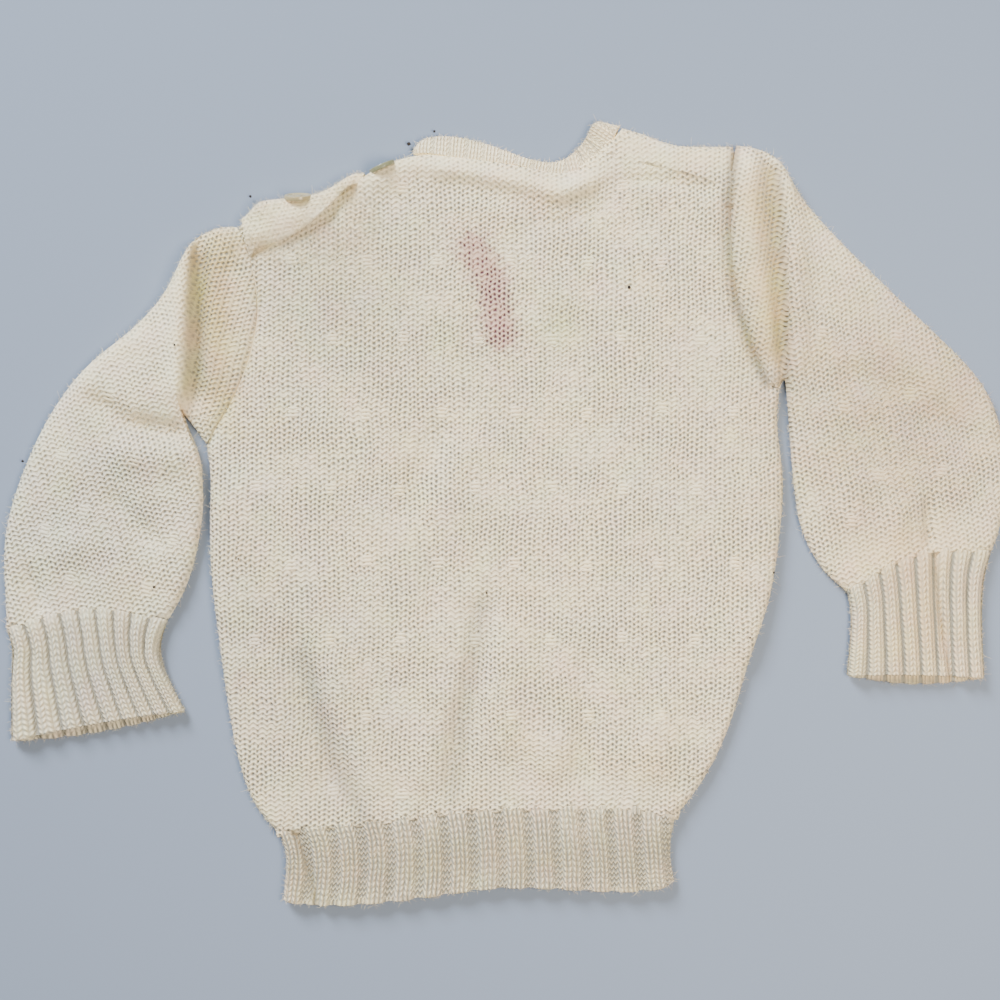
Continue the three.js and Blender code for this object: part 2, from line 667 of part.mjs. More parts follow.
// ---------------------------------------------------------------- buttons
const BUTTON_RADIUS = 6.2;
const BUTTON_THICKNESS = 2.0;
const BUTTON_HOLE = 0.8;
const BUTTON_HOLE_OFFSET = 1.5;
// Each stands on edge behind the shoulder: [x, y, z], lean of its face upwards, turn about Z.
const BUTTONS = [
  [[-93.4, 146.2, 6.5], 20, 0],
  [[-55.4, 161.2, 6.4], 8, 24],
];

function buttonGeometry() {
  const rim = [
    [0, 0], [BUTTON_RADIUS - 0.9, 0], [BUTTON_RADIUS, 0.7], [BUTTON_RADIUS, 1.4],
    [BUTTON_RADIUS - 0.6, BUTTON_THICKNESS], [BUTTON_RADIUS - 1.5, BUTTON_THICKNESS],
    [BUTTON_RADIUS - 2.2, BUTTON_THICKNESS - 0.4], [0, BUTTON_THICKNESS - 0.5],
  ].map(([r, h]) => new THREE.Vector2(r, h));
  let solid = toManifold(new THREE.LatheGeometry(rim, 16));
  for (const side of [-1, 1]) {
    const hole = new THREE.CylinderGeometry(BUTTON_HOLE, BUTTON_HOLE, 3 * BUTTON_THICKNESS, 8);
    hole.translate(side * BUTTON_HOLE_OFFSET, 0, 0);
    solid = solid.subtract(toManifold(hole));
  }
  return toGeometry(solid);
}

// ---------------------------------------------------------------- the garment
const materials = {
  knit: new THREE.MeshStandardMaterial({ color: COLOURS.knit, roughness: 0.95, metalness: 0 }),
  rib: new THREE.MeshStandardMaterial({ color: COLOURS.rib, roughness: 0.95, metalness: 0 }),
  button: new THREE.MeshStandardMaterial({ color: COLOURS.button, roughness: 0.35, metalness: 0 }),
};

const sweater = new THREE.Group();
sweater.name = "sweater";

function addPiece(name, geometry, material) {
  const piece = new THREE.Mesh(geometry, material);
  piece.name = name;
  sweater.add(piece);
  return piece;
}

addPiece("back", backGeometry(), materials.knit);
addPiece("front", frontGeometry(), materials.knit);
addPiece("back_hem_rib", hemGeometry(1), materials.rib);
addPiece("front_hem_rib", hemGeometry(-1), materials.rib);
addPiece("left_sleeve", sleeveGeometry(LEFT_SLEEVE), materials.knit);
addPiece("right_sleeve", sleeveGeometry(RIGHT_SLEEVE), materials.knit);
addPiece("left_cuff", cuffGeometry(LEFT_CUFF), materials.rib);
addPiece("right_cuff", cuffGeometry(RIGHT_CUFF), materials.rib);
addPiece("buttonhole_band", buttonholeBandGeometry(), materials.rib);
addPiece("neckband", neckbandGeometry(), materials.rib);

BUTTONS.forEach(([place, lean, turn], i) => {
  const button = addPiece(`button_${i + 1}`, buttonGeometry(), materials.button);
  button.position.set(...place);
  button.rotation.set(THREE.MathUtils.degToRad(lean), 0, THREE.MathUtils.degToRad(turn), "ZXY");
});

// Centre the garment on the Z axis, resting on z = 0.
const bounds = new THREE.Box3().setFromObject(sweater, true);
const centre = bounds.getCenter(new THREE.Vector3());
sweater.position.set(-centre.x, -centre.y, -bounds.min.z);

export default sweater;
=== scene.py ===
import json
import math

import bmesh
import bpy
import numpy as np
from bpy.props import (
    FloatProperty,
    FloatVectorProperty,
    IntProperty,
    PointerProperty,
)
from mathutils import Matrix, Vector
from mathutils.bvhtree import BVHTree

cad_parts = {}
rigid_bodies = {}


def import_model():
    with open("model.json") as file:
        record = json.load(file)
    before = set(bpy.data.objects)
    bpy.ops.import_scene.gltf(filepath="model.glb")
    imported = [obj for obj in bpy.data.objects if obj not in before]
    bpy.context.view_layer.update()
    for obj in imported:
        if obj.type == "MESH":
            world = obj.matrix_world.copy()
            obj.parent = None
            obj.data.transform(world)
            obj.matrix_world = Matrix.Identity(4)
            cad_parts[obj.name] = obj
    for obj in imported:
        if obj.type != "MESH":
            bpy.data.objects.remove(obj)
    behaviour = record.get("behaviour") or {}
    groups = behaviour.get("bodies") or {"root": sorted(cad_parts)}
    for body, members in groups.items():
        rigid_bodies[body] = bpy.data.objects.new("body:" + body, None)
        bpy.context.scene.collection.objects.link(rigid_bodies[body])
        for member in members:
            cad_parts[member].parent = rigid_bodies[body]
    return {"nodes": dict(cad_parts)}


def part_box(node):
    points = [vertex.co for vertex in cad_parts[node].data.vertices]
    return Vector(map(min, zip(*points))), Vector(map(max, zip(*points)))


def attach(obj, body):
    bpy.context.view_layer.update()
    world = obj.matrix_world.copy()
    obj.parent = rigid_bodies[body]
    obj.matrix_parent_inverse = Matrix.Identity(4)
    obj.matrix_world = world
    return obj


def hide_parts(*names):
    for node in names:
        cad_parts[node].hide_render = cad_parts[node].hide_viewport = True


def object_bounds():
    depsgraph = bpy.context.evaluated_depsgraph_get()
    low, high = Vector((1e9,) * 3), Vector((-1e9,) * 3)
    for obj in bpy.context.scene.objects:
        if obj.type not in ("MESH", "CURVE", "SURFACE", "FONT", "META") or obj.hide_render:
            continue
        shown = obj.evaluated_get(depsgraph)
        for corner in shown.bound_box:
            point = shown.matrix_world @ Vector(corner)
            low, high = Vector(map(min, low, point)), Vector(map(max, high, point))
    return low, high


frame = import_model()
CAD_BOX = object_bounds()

bl_info = {
    "name": "Laid-flat wool sweater",
    "version": (1, 0, 0),
    "blender": (4, 5, 0),
    "location": "View3D > Sidebar > Sweater",
    "description": "Builds the looks of a hand-knitted baby pullover that lies on a table",
    "category": "Object",
}

MM = 0.001
LOW = np.array(CAD_BOX[0])
HIGH = np.array(CAD_BOX[1])
SPAN = HIGH - LOW
CLOTH_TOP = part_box("back_hem_rib")[1].z  # the upper face where two layers lie flat

# ------------------------------------------------------------------ settings


class KnitSettings(bpy.types.PropertyGroup):
    """Sizes of the stitches and of what stands on the cloth."""

    wale: FloatProperty(
        name="Wale", description="Width of one stitch", default=0.0041, unit="LENGTH"
    )
    course: FloatProperty(
        name="Course", description="Height of one row", default=0.00233, unit="LENGTH"
    )
    rib_depth: FloatProperty(
        name="Rib depth", description="Height of a rib over its groove",
        default=0.0016, unit="LENGTH",
    )
    bar_length: FloatProperty(
        name="Bar length", description="Length of one strand of the three-strand bars",
        default=0.0068, unit="LENGTH",
    )
    strand: FloatProperty(
        name="Strand", description="Thickness of one strand of yarn",
        default=0.0011, unit="LENGTH",
    )
    fibres: IntProperty(
        name="Fibres", description="How many loose fibres stand out of the wool",
        default=13000, min=0,
    )


class ColourSettings(bpy.types.PropertyGroup):
    """Colours of the wool, the shade painted in its hollows, its pink stain, the buttons and the
    floor.
    """

    wool: FloatVectorProperty(
        name="Wool", description="Colour of the clean wool",
        subtype="COLOR", size=3, default=(0.945, 0.825, 0.575), min=0, max=1,
    )
    # Painted shade: the colour laid deep between the stitches, where shade falls.
    hollow_shade: FloatVectorProperty(
        name="Hollow", description="Colour deep between the stitches",
        subtype="COLOR", size=3, default=(0.36, 0.335, 0.26), min=0, max=1,
    )
    pink: FloatVectorProperty(
        name="Pink stain", description="Dye that has run into the wool",
        subtype="COLOR", size=3, default=(0.44, 0.13, 0.18), min=0, max=1,
    )
    button: FloatVectorProperty(
        name="Button", description="Colour of the buttons",
        subtype="COLOR", size=3, default=(0.36, 0.305, 0.17), min=0, max=1,
    )
    floor: FloatVectorProperty(
        name="Floor", description="Colour of the table",
        subtype="COLOR", size=3, default=(0.245, 0.300, 0.405), min=0, max=1,
    )


class StageSettings(bpy.types.PropertyGroup):
    """The camera and the lights."""

    camera_height: FloatProperty(
        name="Camera height", description="Height of the camera over the table",
        default=0.72, unit="LENGTH",
    )
    key_power: FloatProperty(
        name="Key light", description="Power of the warm lamp", default=8.8, unit="POWER"
    )
    fill_power: FloatProperty(
        name="Fill light", description="Power of the cool window light",
        default=135.0, unit="POWER",
    )
    sky: FloatProperty(
        name="Sky", description="Strength of the light from all round", default=0.30
    )


# ------------------------------------------------------------------ places on the garment


def place(across, up):
    """A point in plan, as shares of the garment's width and height, in metres."""
    return np.array([LOW[0] + across * SPAN[0], LOW[1] + up * SPAN[1]])


def along_line(points, corners):
    """For each plan point: its distance from the line, how far along it is, and the length."""
    best, along, before = np.full(len(points), np.inf), np.zeros(len(points)), 0.0
    for a, b in zip(corners[:-1], corners[1:]):
        run = b - a
        length = np.linalg.norm(run)
        share = np.clip((points - a) @ run / length**2, 0, 1)
        away = np.linalg.norm(points - a - share[:, None] * run, axis=1)
        along = np.where(away < best, before + share * length, along)
        best = np.minimum(best, away)
        before += length
    return best, along, before


def line_distance(points, corners):
    """How far each plan point is from a line through those corners."""
    return along_line(points, corners)[0]


def smooth_step(low, high, x):
    t = np.clip((x - low) / (high - low), 0, 1)
    return t * t * (3 - 2 * t)


# Soft folds: the line as shares of the garment, half width and height in millimetres.
BODY_FOLDS = [
    ([(0.286, 0.363), (0.306, 0.261), (0.331, 0.184), (0.361, 0.113)], 5.5, -2.2),
    ([(0.320, 0.330), (0.345, 0.230), (0.385, 0.140)], 9.0, 1.4),
    ([(0.260, 0.330), (0.278, 0.230), (0.310, 0.150)], 9.0, 1.2),
    ([(0.483, 0.401), (0.471, 0.299), (0.456, 0.209), (0.448, 0.132)], 5.0, -2.2),
    ([(0.508, 0.380), (0.502, 0.280), (0.492, 0.180)], 9.0, 1.4),
    ([(0.445, 0.300), (0.425, 0.200), (0.415, 0.140)], 9.0, 1.4),
    ([(0.428, 0.450), (0.433, 0.350)], 4.5, -1.4),
    ([(0.445, 0.620), (0.416, 0.555), (0.398, 0.480)], 7.0, -1.5),
    ([(0.480, 0.610), (0.450, 0.540), (0.435, 0.480)], 9.0, 1.0),
    ([(0.579, 0.331), (0.586, 0.261), (0.578, 0.145)], 6.0, -1.7),
    ([(0.546, 0.235), (0.550, 0.150)], 9.0, 1.5),
    ([(0.655, 0.260), (0.645, 0.150)], 10.0, 1.6),
    ([(0.235, 0.560), (0.225, 0.420), (0.240, 0.280)], 12.0, 1.0),
    ([(0.745, 0.560), (0.750, 0.400), (0.735, 0.300)], 12.0, 1.2),
    ([(0.425, 0.922), (0.466, 0.912), (0.516, 0.899), (0.556, 0.880), (0.592, 0.897),
      (0.622, 0.935)], 5.0, -1.6),
    ([(0.612, 0.926), (0.665, 0.922), (0.722, 0.908)], 3.4, -1.1),
    ([(0.385, 0.945), (0.440, 0.938), (0.500, 0.925), (0.556, 0.908), (0.598, 0.925)], 4.5, 1.4),
    ([(0.505, 0.850), (0.556, 0.880), (0.600, 0.900)], 5.0, -0.8),
    ([(0.300, 0.868), (0.325, 0.878), (0.340, 0.905)], 3.0, -1.2),
    ([(0.350, 0.915), (0.372, 0.925), (0.402, 0.940)], 7.0, 2.4),
]
LEFT_SLEEVE_FOLDS = [
    ([(0.197, 0.870), (0.196, 0.773), (0.194, 0.700), (0.188, 0.615)], 3.0, -0.8),
    ([(0.213, 0.850), (0.211, 0.734), (0.209, 0.640)], 4.5, 1.4),
    ([(0.178, 0.850), (0.176, 0.734), (0.174, 0.640)], 4.5, 1.0),
    ([(0.085, 0.655), (0.126, 0.617), (0.161, 0.608), (0.192, 0.600)], 4.2, -2.6),
    ([(0.105, 0.580), (0.150, 0.570), (0.192, 0.566)], 6.5, 1.8),
    ([(0.100, 0.534), (0.131, 0.491), (0.165, 0.450)], 4.5, -1.9),
    ([(0.212, 0.812), (0.245, 0.806)], 3.0, -1.2),
    ([(0.215, 0.846), (0.242, 0.846)], 5.0, 1.6),
    ([(0.022, 0.440), (0.035, 0.400), (0.045, 0.360)], 4.0, -1.8),
    ([(0.060, 0.480), (0.085, 0.430)], 9.0, 1.2),
]
RIGHT_SLEEVE_FOLDS = [
    ([(0.758, 0.975), (0.769, 0.888), (0.775, 0.798), (0.779, 0.721), (0.781, 0.635)], 3.6, -0.9),
    ([(0.742, 0.965), (0.747, 0.862), (0.757, 0.773), (0.768, 0.690)], 5.5, 2.1),
    ([(0.780, 0.933), (0.790, 0.862), (0.792, 0.773), (0.792, 0.670)], 5.0, 1.2),
    ([(0.825, 0.685), (0.870, 0.665), (0.926, 0.648)], 7.0, -1.5),
    ([(0.905, 0.638), (0.985, 0.590)], 7.0, -1.6),
    ([(0.921, 0.530), (0.926, 0.440)], 3.2, -2.0),
    ([(0.893, 0.530), (0.889, 0.455)], 6.0, 1.5),
    ([(0.840, 0.560), (0.850, 0.470)], 8.0, 1.0),
    ([(0.870, 0.480), (0.868, 0.440)], 3.0, -0.6),
]
# The edges where each sleeve lies over the strip beside its armhole: the line from the top
# down, its rise and its fall in millimetres, and 1 where its left lies over or -1 its right.
LEDGES = [
    ([(0.1915, 0.860), (0.1900, 0.773), (0.1885, 0.700), (0.1845, 0.630)], 1.5, 2.0, 1),
    ([(0.7690, 0.960), (0.7735, 0.900), (0.7765, 0.830), (0.7790, 0.750), (0.7810, 0.635)],
     0.9, 1.4, -1),
]
LEFT_CUFF_FOLDS = [([(0.022, 0.345), (0.050, 0.270), (0.060, 0.180)], 2.2, -0.7)]
RIGHT_CUFF_FOLDS = [
    ([(0.927, 0.480), (0.934, 0.375), (0.939, 0.330), (0.950, 0.245)], 2.0, -2.0),
    ([(0.950, 0.440), (0.955, 0.340)], 3.0, 0.5),
]
HEM_FOLDS = [([(0.285, 0.115), (0.303, 0.062), (0.311, 0.030), (0.315, -0.040)], 2.0, -1.9)]


FOLD_STRENGTH = 1.4  # how much higher folds are made than the lists state
FOLD_FADE = (-2 * MM, 12 * MM)  # folds fade out over this stretch from their ends
LEDGE_SLOPE = 1.1 * MM  # the width of the step at a ledge
LEDGE_RISE, LEDGE_FALL = 7 * MM, 6 * MM  # how far its rise and its fall reach
LEDGE_FADE = 8 * MM  # ledges fade out over this stretch at their ends


def fold_relief(points, folds):
    """The height of soft folds at plan points, in metres."""
    height = np.zeros(len(points))
    for line, half_width, rise in folds:
        away, along, length = along_line(points, [place(*p) for p in line])
        ends = smooth_step(*FOLD_FADE, np.minimum(along, length - along))
        height += FOLD_STRENGTH * rise * MM * ends * np.exp(-((away / (half_width * MM)) ** 2))
    return height


def ledge_relief(points, line, over, under, side):
    """A sharp step along a line that runs down: its left lies over its right, or for -1 under."""
    corners = [place(*p) for p in line]
    away, along, length = along_line(points, corners)
    middle = np.interp(-points[:, 1], [-c[1] for c in corners], [c[0] for c in corners])
    across = side * np.tanh((points[:, 0] - middle) / LEDGE_SLOPE)
    ends = smooth_step(0, LEDGE_FADE, np.minimum(along, length - along))
    rise = over * 0.5 * (1 - across) * np.exp(-((away / LEDGE_RISE) ** 2))
    fall = under * 0.5 * (1 + across) * np.exp(-((away / LEDGE_FALL) ** 2))
    return ends * (rise - fall)


# Unevenness of each part: the size of its waves in metres, their height and their seed.
UNEVEN = {
    "back": (0.045, 0.35 * MM, 1),
    "front": (0.020, 0.3 * MM, 2),
    "left_sleeve": (0.035, 0.4 * MM, 3),
    "right_sleeve": (0.035, 0.4 * MM, 4),
    "buttonhole_band": (0.014, 0.9 * MM, 7),
}


def wander(points, size, amount, seed):
    """Gentle unevenness of hand knitting: waves of several directions, in metres."""
    rng = np.random.default_rng(seed)
    height = np.zeros(len(points))
    for _ in range(7):
        turn = rng.uniform(0, math.pi)
        wave = 2 * math.pi / (size * rng.uniform(0.6, 1.6))
        along = points @ np.array([math.cos(turn), math.sin(turn)])
        height += np.sin(along * wave + rng.uniform(0, 2 * math.pi))
    return height * amount / 4


# ------------------------------------------------------------------ cloth from its solid


def deselect_all():
    bpy.ops.object.select_all(action="DESELECT")


def make_active(piece):
    deselect_all()
    piece.select_set(True)
    bpy.context.view_layer.objects.active = piece


def apply_modifier(piece, kind, **values):
    modifier = piece.modifiers.new(kind.lower(), kind)
    for name, value in values.items():
        setattr(modifier, name, value)
    make_active(piece)
    bpy.ops.object.modifier_apply(modifier=modifier.name)


SAME_POINT = 4e-6  # corners of the solids this near, in metres, are one corner
SEWN_EDGE = 0.9 * MM  # an edge this near to another piece is sewn to it
SHARP_ANGLE = math.radians(62)
SEWN_CREASE, FREE_CREASE = 1.0, 0.55


def surface_tree(*pieces):
    """The surface of pieces or CAD nodes, to find near points on."""
    corners, faces = [], []
    for piece in pieces:
        start = len(corners)
        corners += [v.co for v in piece.data.vertices]
        faces += [[start + i for i in p.vertices] for p in piece.data.polygons]
    return BVHTree.FromPolygons(corners, faces)


def cloth_from(node, name, levels):
    """A smooth closed shell on the form of a CAD node, crisp at its sewn edges."""
    piece = bpy.data.objects.new(name, frame["nodes"][node].data.copy())
    bpy.context.collection.objects.link(piece)
    piece.data.materials.clear()
    bm = bmesh.new()
    bm.from_mesh(piece.data)
    bmesh.ops.remove_doubles(bm, verts=bm.verts, dist=SAME_POINT)
    bmesh.ops.join_triangles(
        bm, faces=bm.faces, angle_face_threshold=math.radians(50),
        angle_shape_threshold=math.radians(170),
    )
    others = surface_tree(*(o for n, o in frame["nodes"].items() if n != node))
    crease = bm.edges.layers.float.get("crease_edge") or bm.edges.layers.float.new("crease_edge")
    sewn = {v for v in bm.verts if others.find_nearest(v.co, SEWN_EDGE)[0] is not None}
    for edge in bm.edges:
        if len(edge.link_faces) == 2 and edge.calc_face_angle() > SHARP_ANGLE:
            edge[crease] = SEWN_CREASE if sewn.issuperset(edge.verts) else FREE_CREASE
    bm.to_mesh(piece.data)
    bm.free()
    apply_modifier(piece, "SUBSURF", levels=levels, render_levels=levels)
    make_active(piece)
    bpy.ops.object.shade_smooth()
    return piece


def points_of(piece):
    points = np.zeros(len(piece.data.vertices) * 3)
    piece.data.vertices.foreach_get("co", points)
    return points.reshape(-1, 3)


def normals_of(piece):
    normals = np.zeros(len(piece.data.vertices) * 3)
    piece.data.vertices.foreach_get("normal", normals)
    return normals.reshape(-1, 3)


def set_points(piece, points):
    piece.data.vertices.foreach_set("co", points.ravel())
    piece.data.update()


def upper_share(points):
    """1 on the upper layer of cloth and 0 on the lower one."""
    middle = CLOTH_TOP / 2
    return smooth_step(middle, middle + 1.2 * MM, points[:, 2])


def outside_share(points, normals):
    """1 on the faces that are seen from above and from below, 0 inside and at folds."""
    middle = CLOTH_TOP / 2
    above = smooth_step(0.1, 0.7, normals[:, 2]) * (points[:, 2] > middle)
    below = smooth_step(0.1, 0.7, -normals[:, 2]) * (points[:, 2] < middle / 2)
    return above, below


def lift_upper_layer(piece, relief):
    """Moves the upper layer up by relief(plan points), and leaves the layer below."""
    points = points_of(piece)
    points[:, 2] += upper_share(points) * relief(points[:, :2])
    set_points(piece, points)


def through(corners, shares):
    """Points of a smooth curve through the corners, at shares of its corner count."""
    corners = np.array([place(*c) for c in corners])
    at = np.clip(shares, 0, 1) * (len(corners) - 1)
    low = np.clip(at.astype(int), 0, len(corners) - 2)
    t = (at - low)[:, None]
    ends = np.concatenate([2 * corners[:1] - corners[1:2], corners, 2 * corners[-1:] - corners[-2:-1]])
    a, b, c, d = (ends[low + i] for i in range(4))
    return 0.5 * (
        2 * b + (c - a) * t + (2 * a - 5 * b + 4 * c - d) * t**2 + (3 * b - a - 3 * c + d) * t**3
    )


class RibPatch:
    """Coordinates on a ribbed piece: the share along its ribs and the share across them.

    The four edges are given in plan as shares of the garment, the sides from the seam down
    and the seam and free edge from left to right.
    """

    def __init__(self, left, right, seam, free, stitches, phase=0.0, drift=0.0, knit=0.68):
        self.edges = left, right, seam, free
        self.stitches, self.phase, self.drift, self.knit = stitches, phase, drift, knit

    def plan(self, down, across):
        left, right, seam, free = self.edges
        down_, across_ = down[:, None], across[:, None]
        corners = [place(*c) for c in (left[0], right[0], left[-1], right[-1])]
        flat = (1 - down_) * ((1 - across_) * corners[0] + across_ * corners[1])
        flat += down_ * ((1 - across_) * corners[2] + across_ * corners[3])
        sides = (1 - across_) * through(left, down) + across_ * through(right, down)
        ends = (1 - down_) * through(seam, across) + down_ * through(free, across)
        return sides + ends - flat

    def shares(self, plan):
        """Down and across at each plan point, by Newton's method."""
        down, across = np.full(len(plan), 0.5), np.full(len(plan), 0.5)
        step = 1e-3
        for _ in range(12):
            here = self.plan(down, across)
            by_down = (self.plan(down + step, across) - here) / step
            by_across = (self.plan(down, across + step) - here) / step
            off = plan - here
            size = by_down[:, 0] * by_across[:, 1] - by_down[:, 1] * by_across[:, 0]
            size = np.where(np.abs(size) < 1e-9, 1e-9, size)
            down += (off[:, 0] * by_across[:, 1] - off[:, 1] * by_across[:, 0]) / size
            across += (by_down[:, 0] * off[:, 1] - by_down[:, 1] * off[:, 0]) / size
            down, across = np.clip(down, 0, 0.998), np.clip(across, 0, 0.998)
        return down, across

    def turns(self, plan):
        """Stitches across, with each knit rib's middle at 2 of every 4, and share down."""
        down, across = self.shares(plan)
        across = across - self.drift * down * np.sin(math.pi * across)
        return across * self.stitches + self.phase, down

    def profile(self, plan):
        """1 on a rib of knit columns and 0 in the groove of purl columns."""
        turns, _ = self.turns(plan)
        if self.knit > 0.75:
            return np.abs(np.sin(math.pi * turns / 4)) ** 0.55
        bias = -math.cos(self.knit * math.pi)
        return 0.5 + 0.5 * np.tanh(2.2 * (bias - np.cos(2 * math.pi * turns / 4)))


HEM = RibPatch(
    left=[(0.2757, 0.0954), (0.2822, 0.0720), (0.2840, 0.0420), (0.2797, 0.0032)],
    right=[(0.6657, 0.1133), (0.6667, 0.0877), (0.6690, 0.0550), (0.6717, 0.0237)],
    seam=[(0.2757, 0.0954), (0.4057, 0.1194), (0.5357, 0.1315), (0.6657, 0.1133)],
    free=[(0.2797, 0.0032), (0.4104, 0.0115), (0.5410, 0.0205), (0.6717, 0.0237)],
    stitches=56, phase=0.8, knit=0.66,
)
LEFT_CUFF = RibPatch(
    left=[(0.0047, 0.3510), (0.0115, 0.3233), (0.0089, 0.2882), (0.0093, 0.2090)],
    right=[(0.1653, 0.3627), (0.1573, 0.3355), (0.1594, 0.3038), (0.1821, 0.2477)],
    seam=[(0.0047, 0.3510), (0.0570, 0.3770), (0.1110, 0.3800), (0.1653, 0.3627)],
    free=[(0.0093, 0.2090), (0.0670, 0.2180), (0.1250, 0.2330), (0.1821, 0.2477)],
    stitches=36, phase=0.0, drift=0.10, knit=0.82,
)
RIGHT_CUFF = RibPatch(
    left=[(0.8413, 0.4007), (0.8461, 0.3735), (0.8453, 0.3402), (0.8413, 0.2929)],
    right=[(0.9857, 0.4515), (0.9774, 0.4153), (0.9757, 0.3680), (0.9787, 0.2896)],
    seam=[(0.8413, 0.4007), (0.8830, 0.4420), (0.9340, 0.4590), (0.9857, 0.4515)],
    free=[(0.8413, 0.2929), (0.8870, 0.2915), (0.9330, 0.2905), (0.9787, 0.2896)],
    stitches=32, phase=0.0, drift=0.04, knit=0.82,
)


# ------------------------------------------------------------------ stitch coordinates


def write_stitches(piece, stitches_at):
    """A UV map in stitches across and rows up, from a function of each face's plan points."""
    mesh = piece.data
    layer = mesh.uv_layers.new(name="stitches")
    corner_vertex = np.zeros(len(mesh.loops), np.int32)
    mesh.loops.foreach_get("vertex_index", corner_vertex)
    sizes = np.zeros(len(mesh.polygons), np.int32)
    mesh.polygons.foreach_get("loop_total", sizes)
    centres = np.zeros(len(mesh.polygons) * 3)
    mesh.polygons.foreach_get("center", centres)
    face_of_corner = np.repeat(np.arange(len(sizes)), sizes)
    points = points_of(piece)[corner_vertex]
    layer.data.foreach_set(
        "uv", stitches_at(points, centres.reshape(-1, 3)[face_of_corner]).ravel()
    )


def turned(points, lean):
    """Plan points in a frame whose rows run across wales that lean by that angle."""
    c, s = math.cos(lean), math.sin(lean)
    return np.stack(
        [points[:, 0] * c + points[:, 1] * s, points[:, 1] * c - points[:, 0] * s], axis=1
    )


def plain_stitches(knit, lean=0.0):
    size = np.array([knit.wale, knit.course])
    return lambda points, centres: turned(points, lean) / size


def sleeve_stitches(knit, lean, corner, side):
    """Stitches of a sleeve whose pleat turns the strip beside the armhole the other way.

    The strip lies above a corner and to one side of it: 1 for the right, -1 for the left.
    """
    size = np.array([knit.wale, knit.course])

    def at(points, centres):
        main = turned(points, lean) / size
        strip = turned(points, -lean) / size
        in_strip = (side * centres[:, 0] > side * corner[0]) & (centres[:, 1] > corner[1])
        return np.where(in_strip[:, None], strip, main)

    return at


def rib_stitches(knit, patch):
    """Stitches of ribbing: columns follow the ribs, and rows are counted along its sides."""
    shares = np.linspace(0, 1, 60)
    lengths = []
    for side in patch.edges[:2]:
        steps = np.linalg.norm(np.diff(through(side, shares), axis=0), axis=1)
        lengths.append(np.append(0, np.cumsum(steps)))

    def at(points, centres):
        turns, down = patch.turns(points[:, :2])
        rows = np.interp(down, shares, (lengths[0] + lengths[1]) / 2) / knit.course
        return np.stack([turns, -rows], axis=1)

    return at


BAND_WALE = 0.47  # a stitch of the neckband is this much of the width of a plain one


def band_stitches(knit, line):
    """Stitches of a narrow band: columns stand across its length."""

    def at(points, centres):
        away, along, _ = along_line(points[:, :2], line)
        return np.stack([along / (BAND_WALE * knit.wale), away / knit.course], axis=1)

    return at


# ------------------------------------------------------------------ tints and stains

RIGHT_ARMHOLE_LINE = [
    (0.7290, 0.965), (0.7255, 0.925), (0.7230, 0.898), (0.7233, 0.833), (0.7291, 0.774),
    (0.7443, 0.715), (0.7604, 0.667),
]
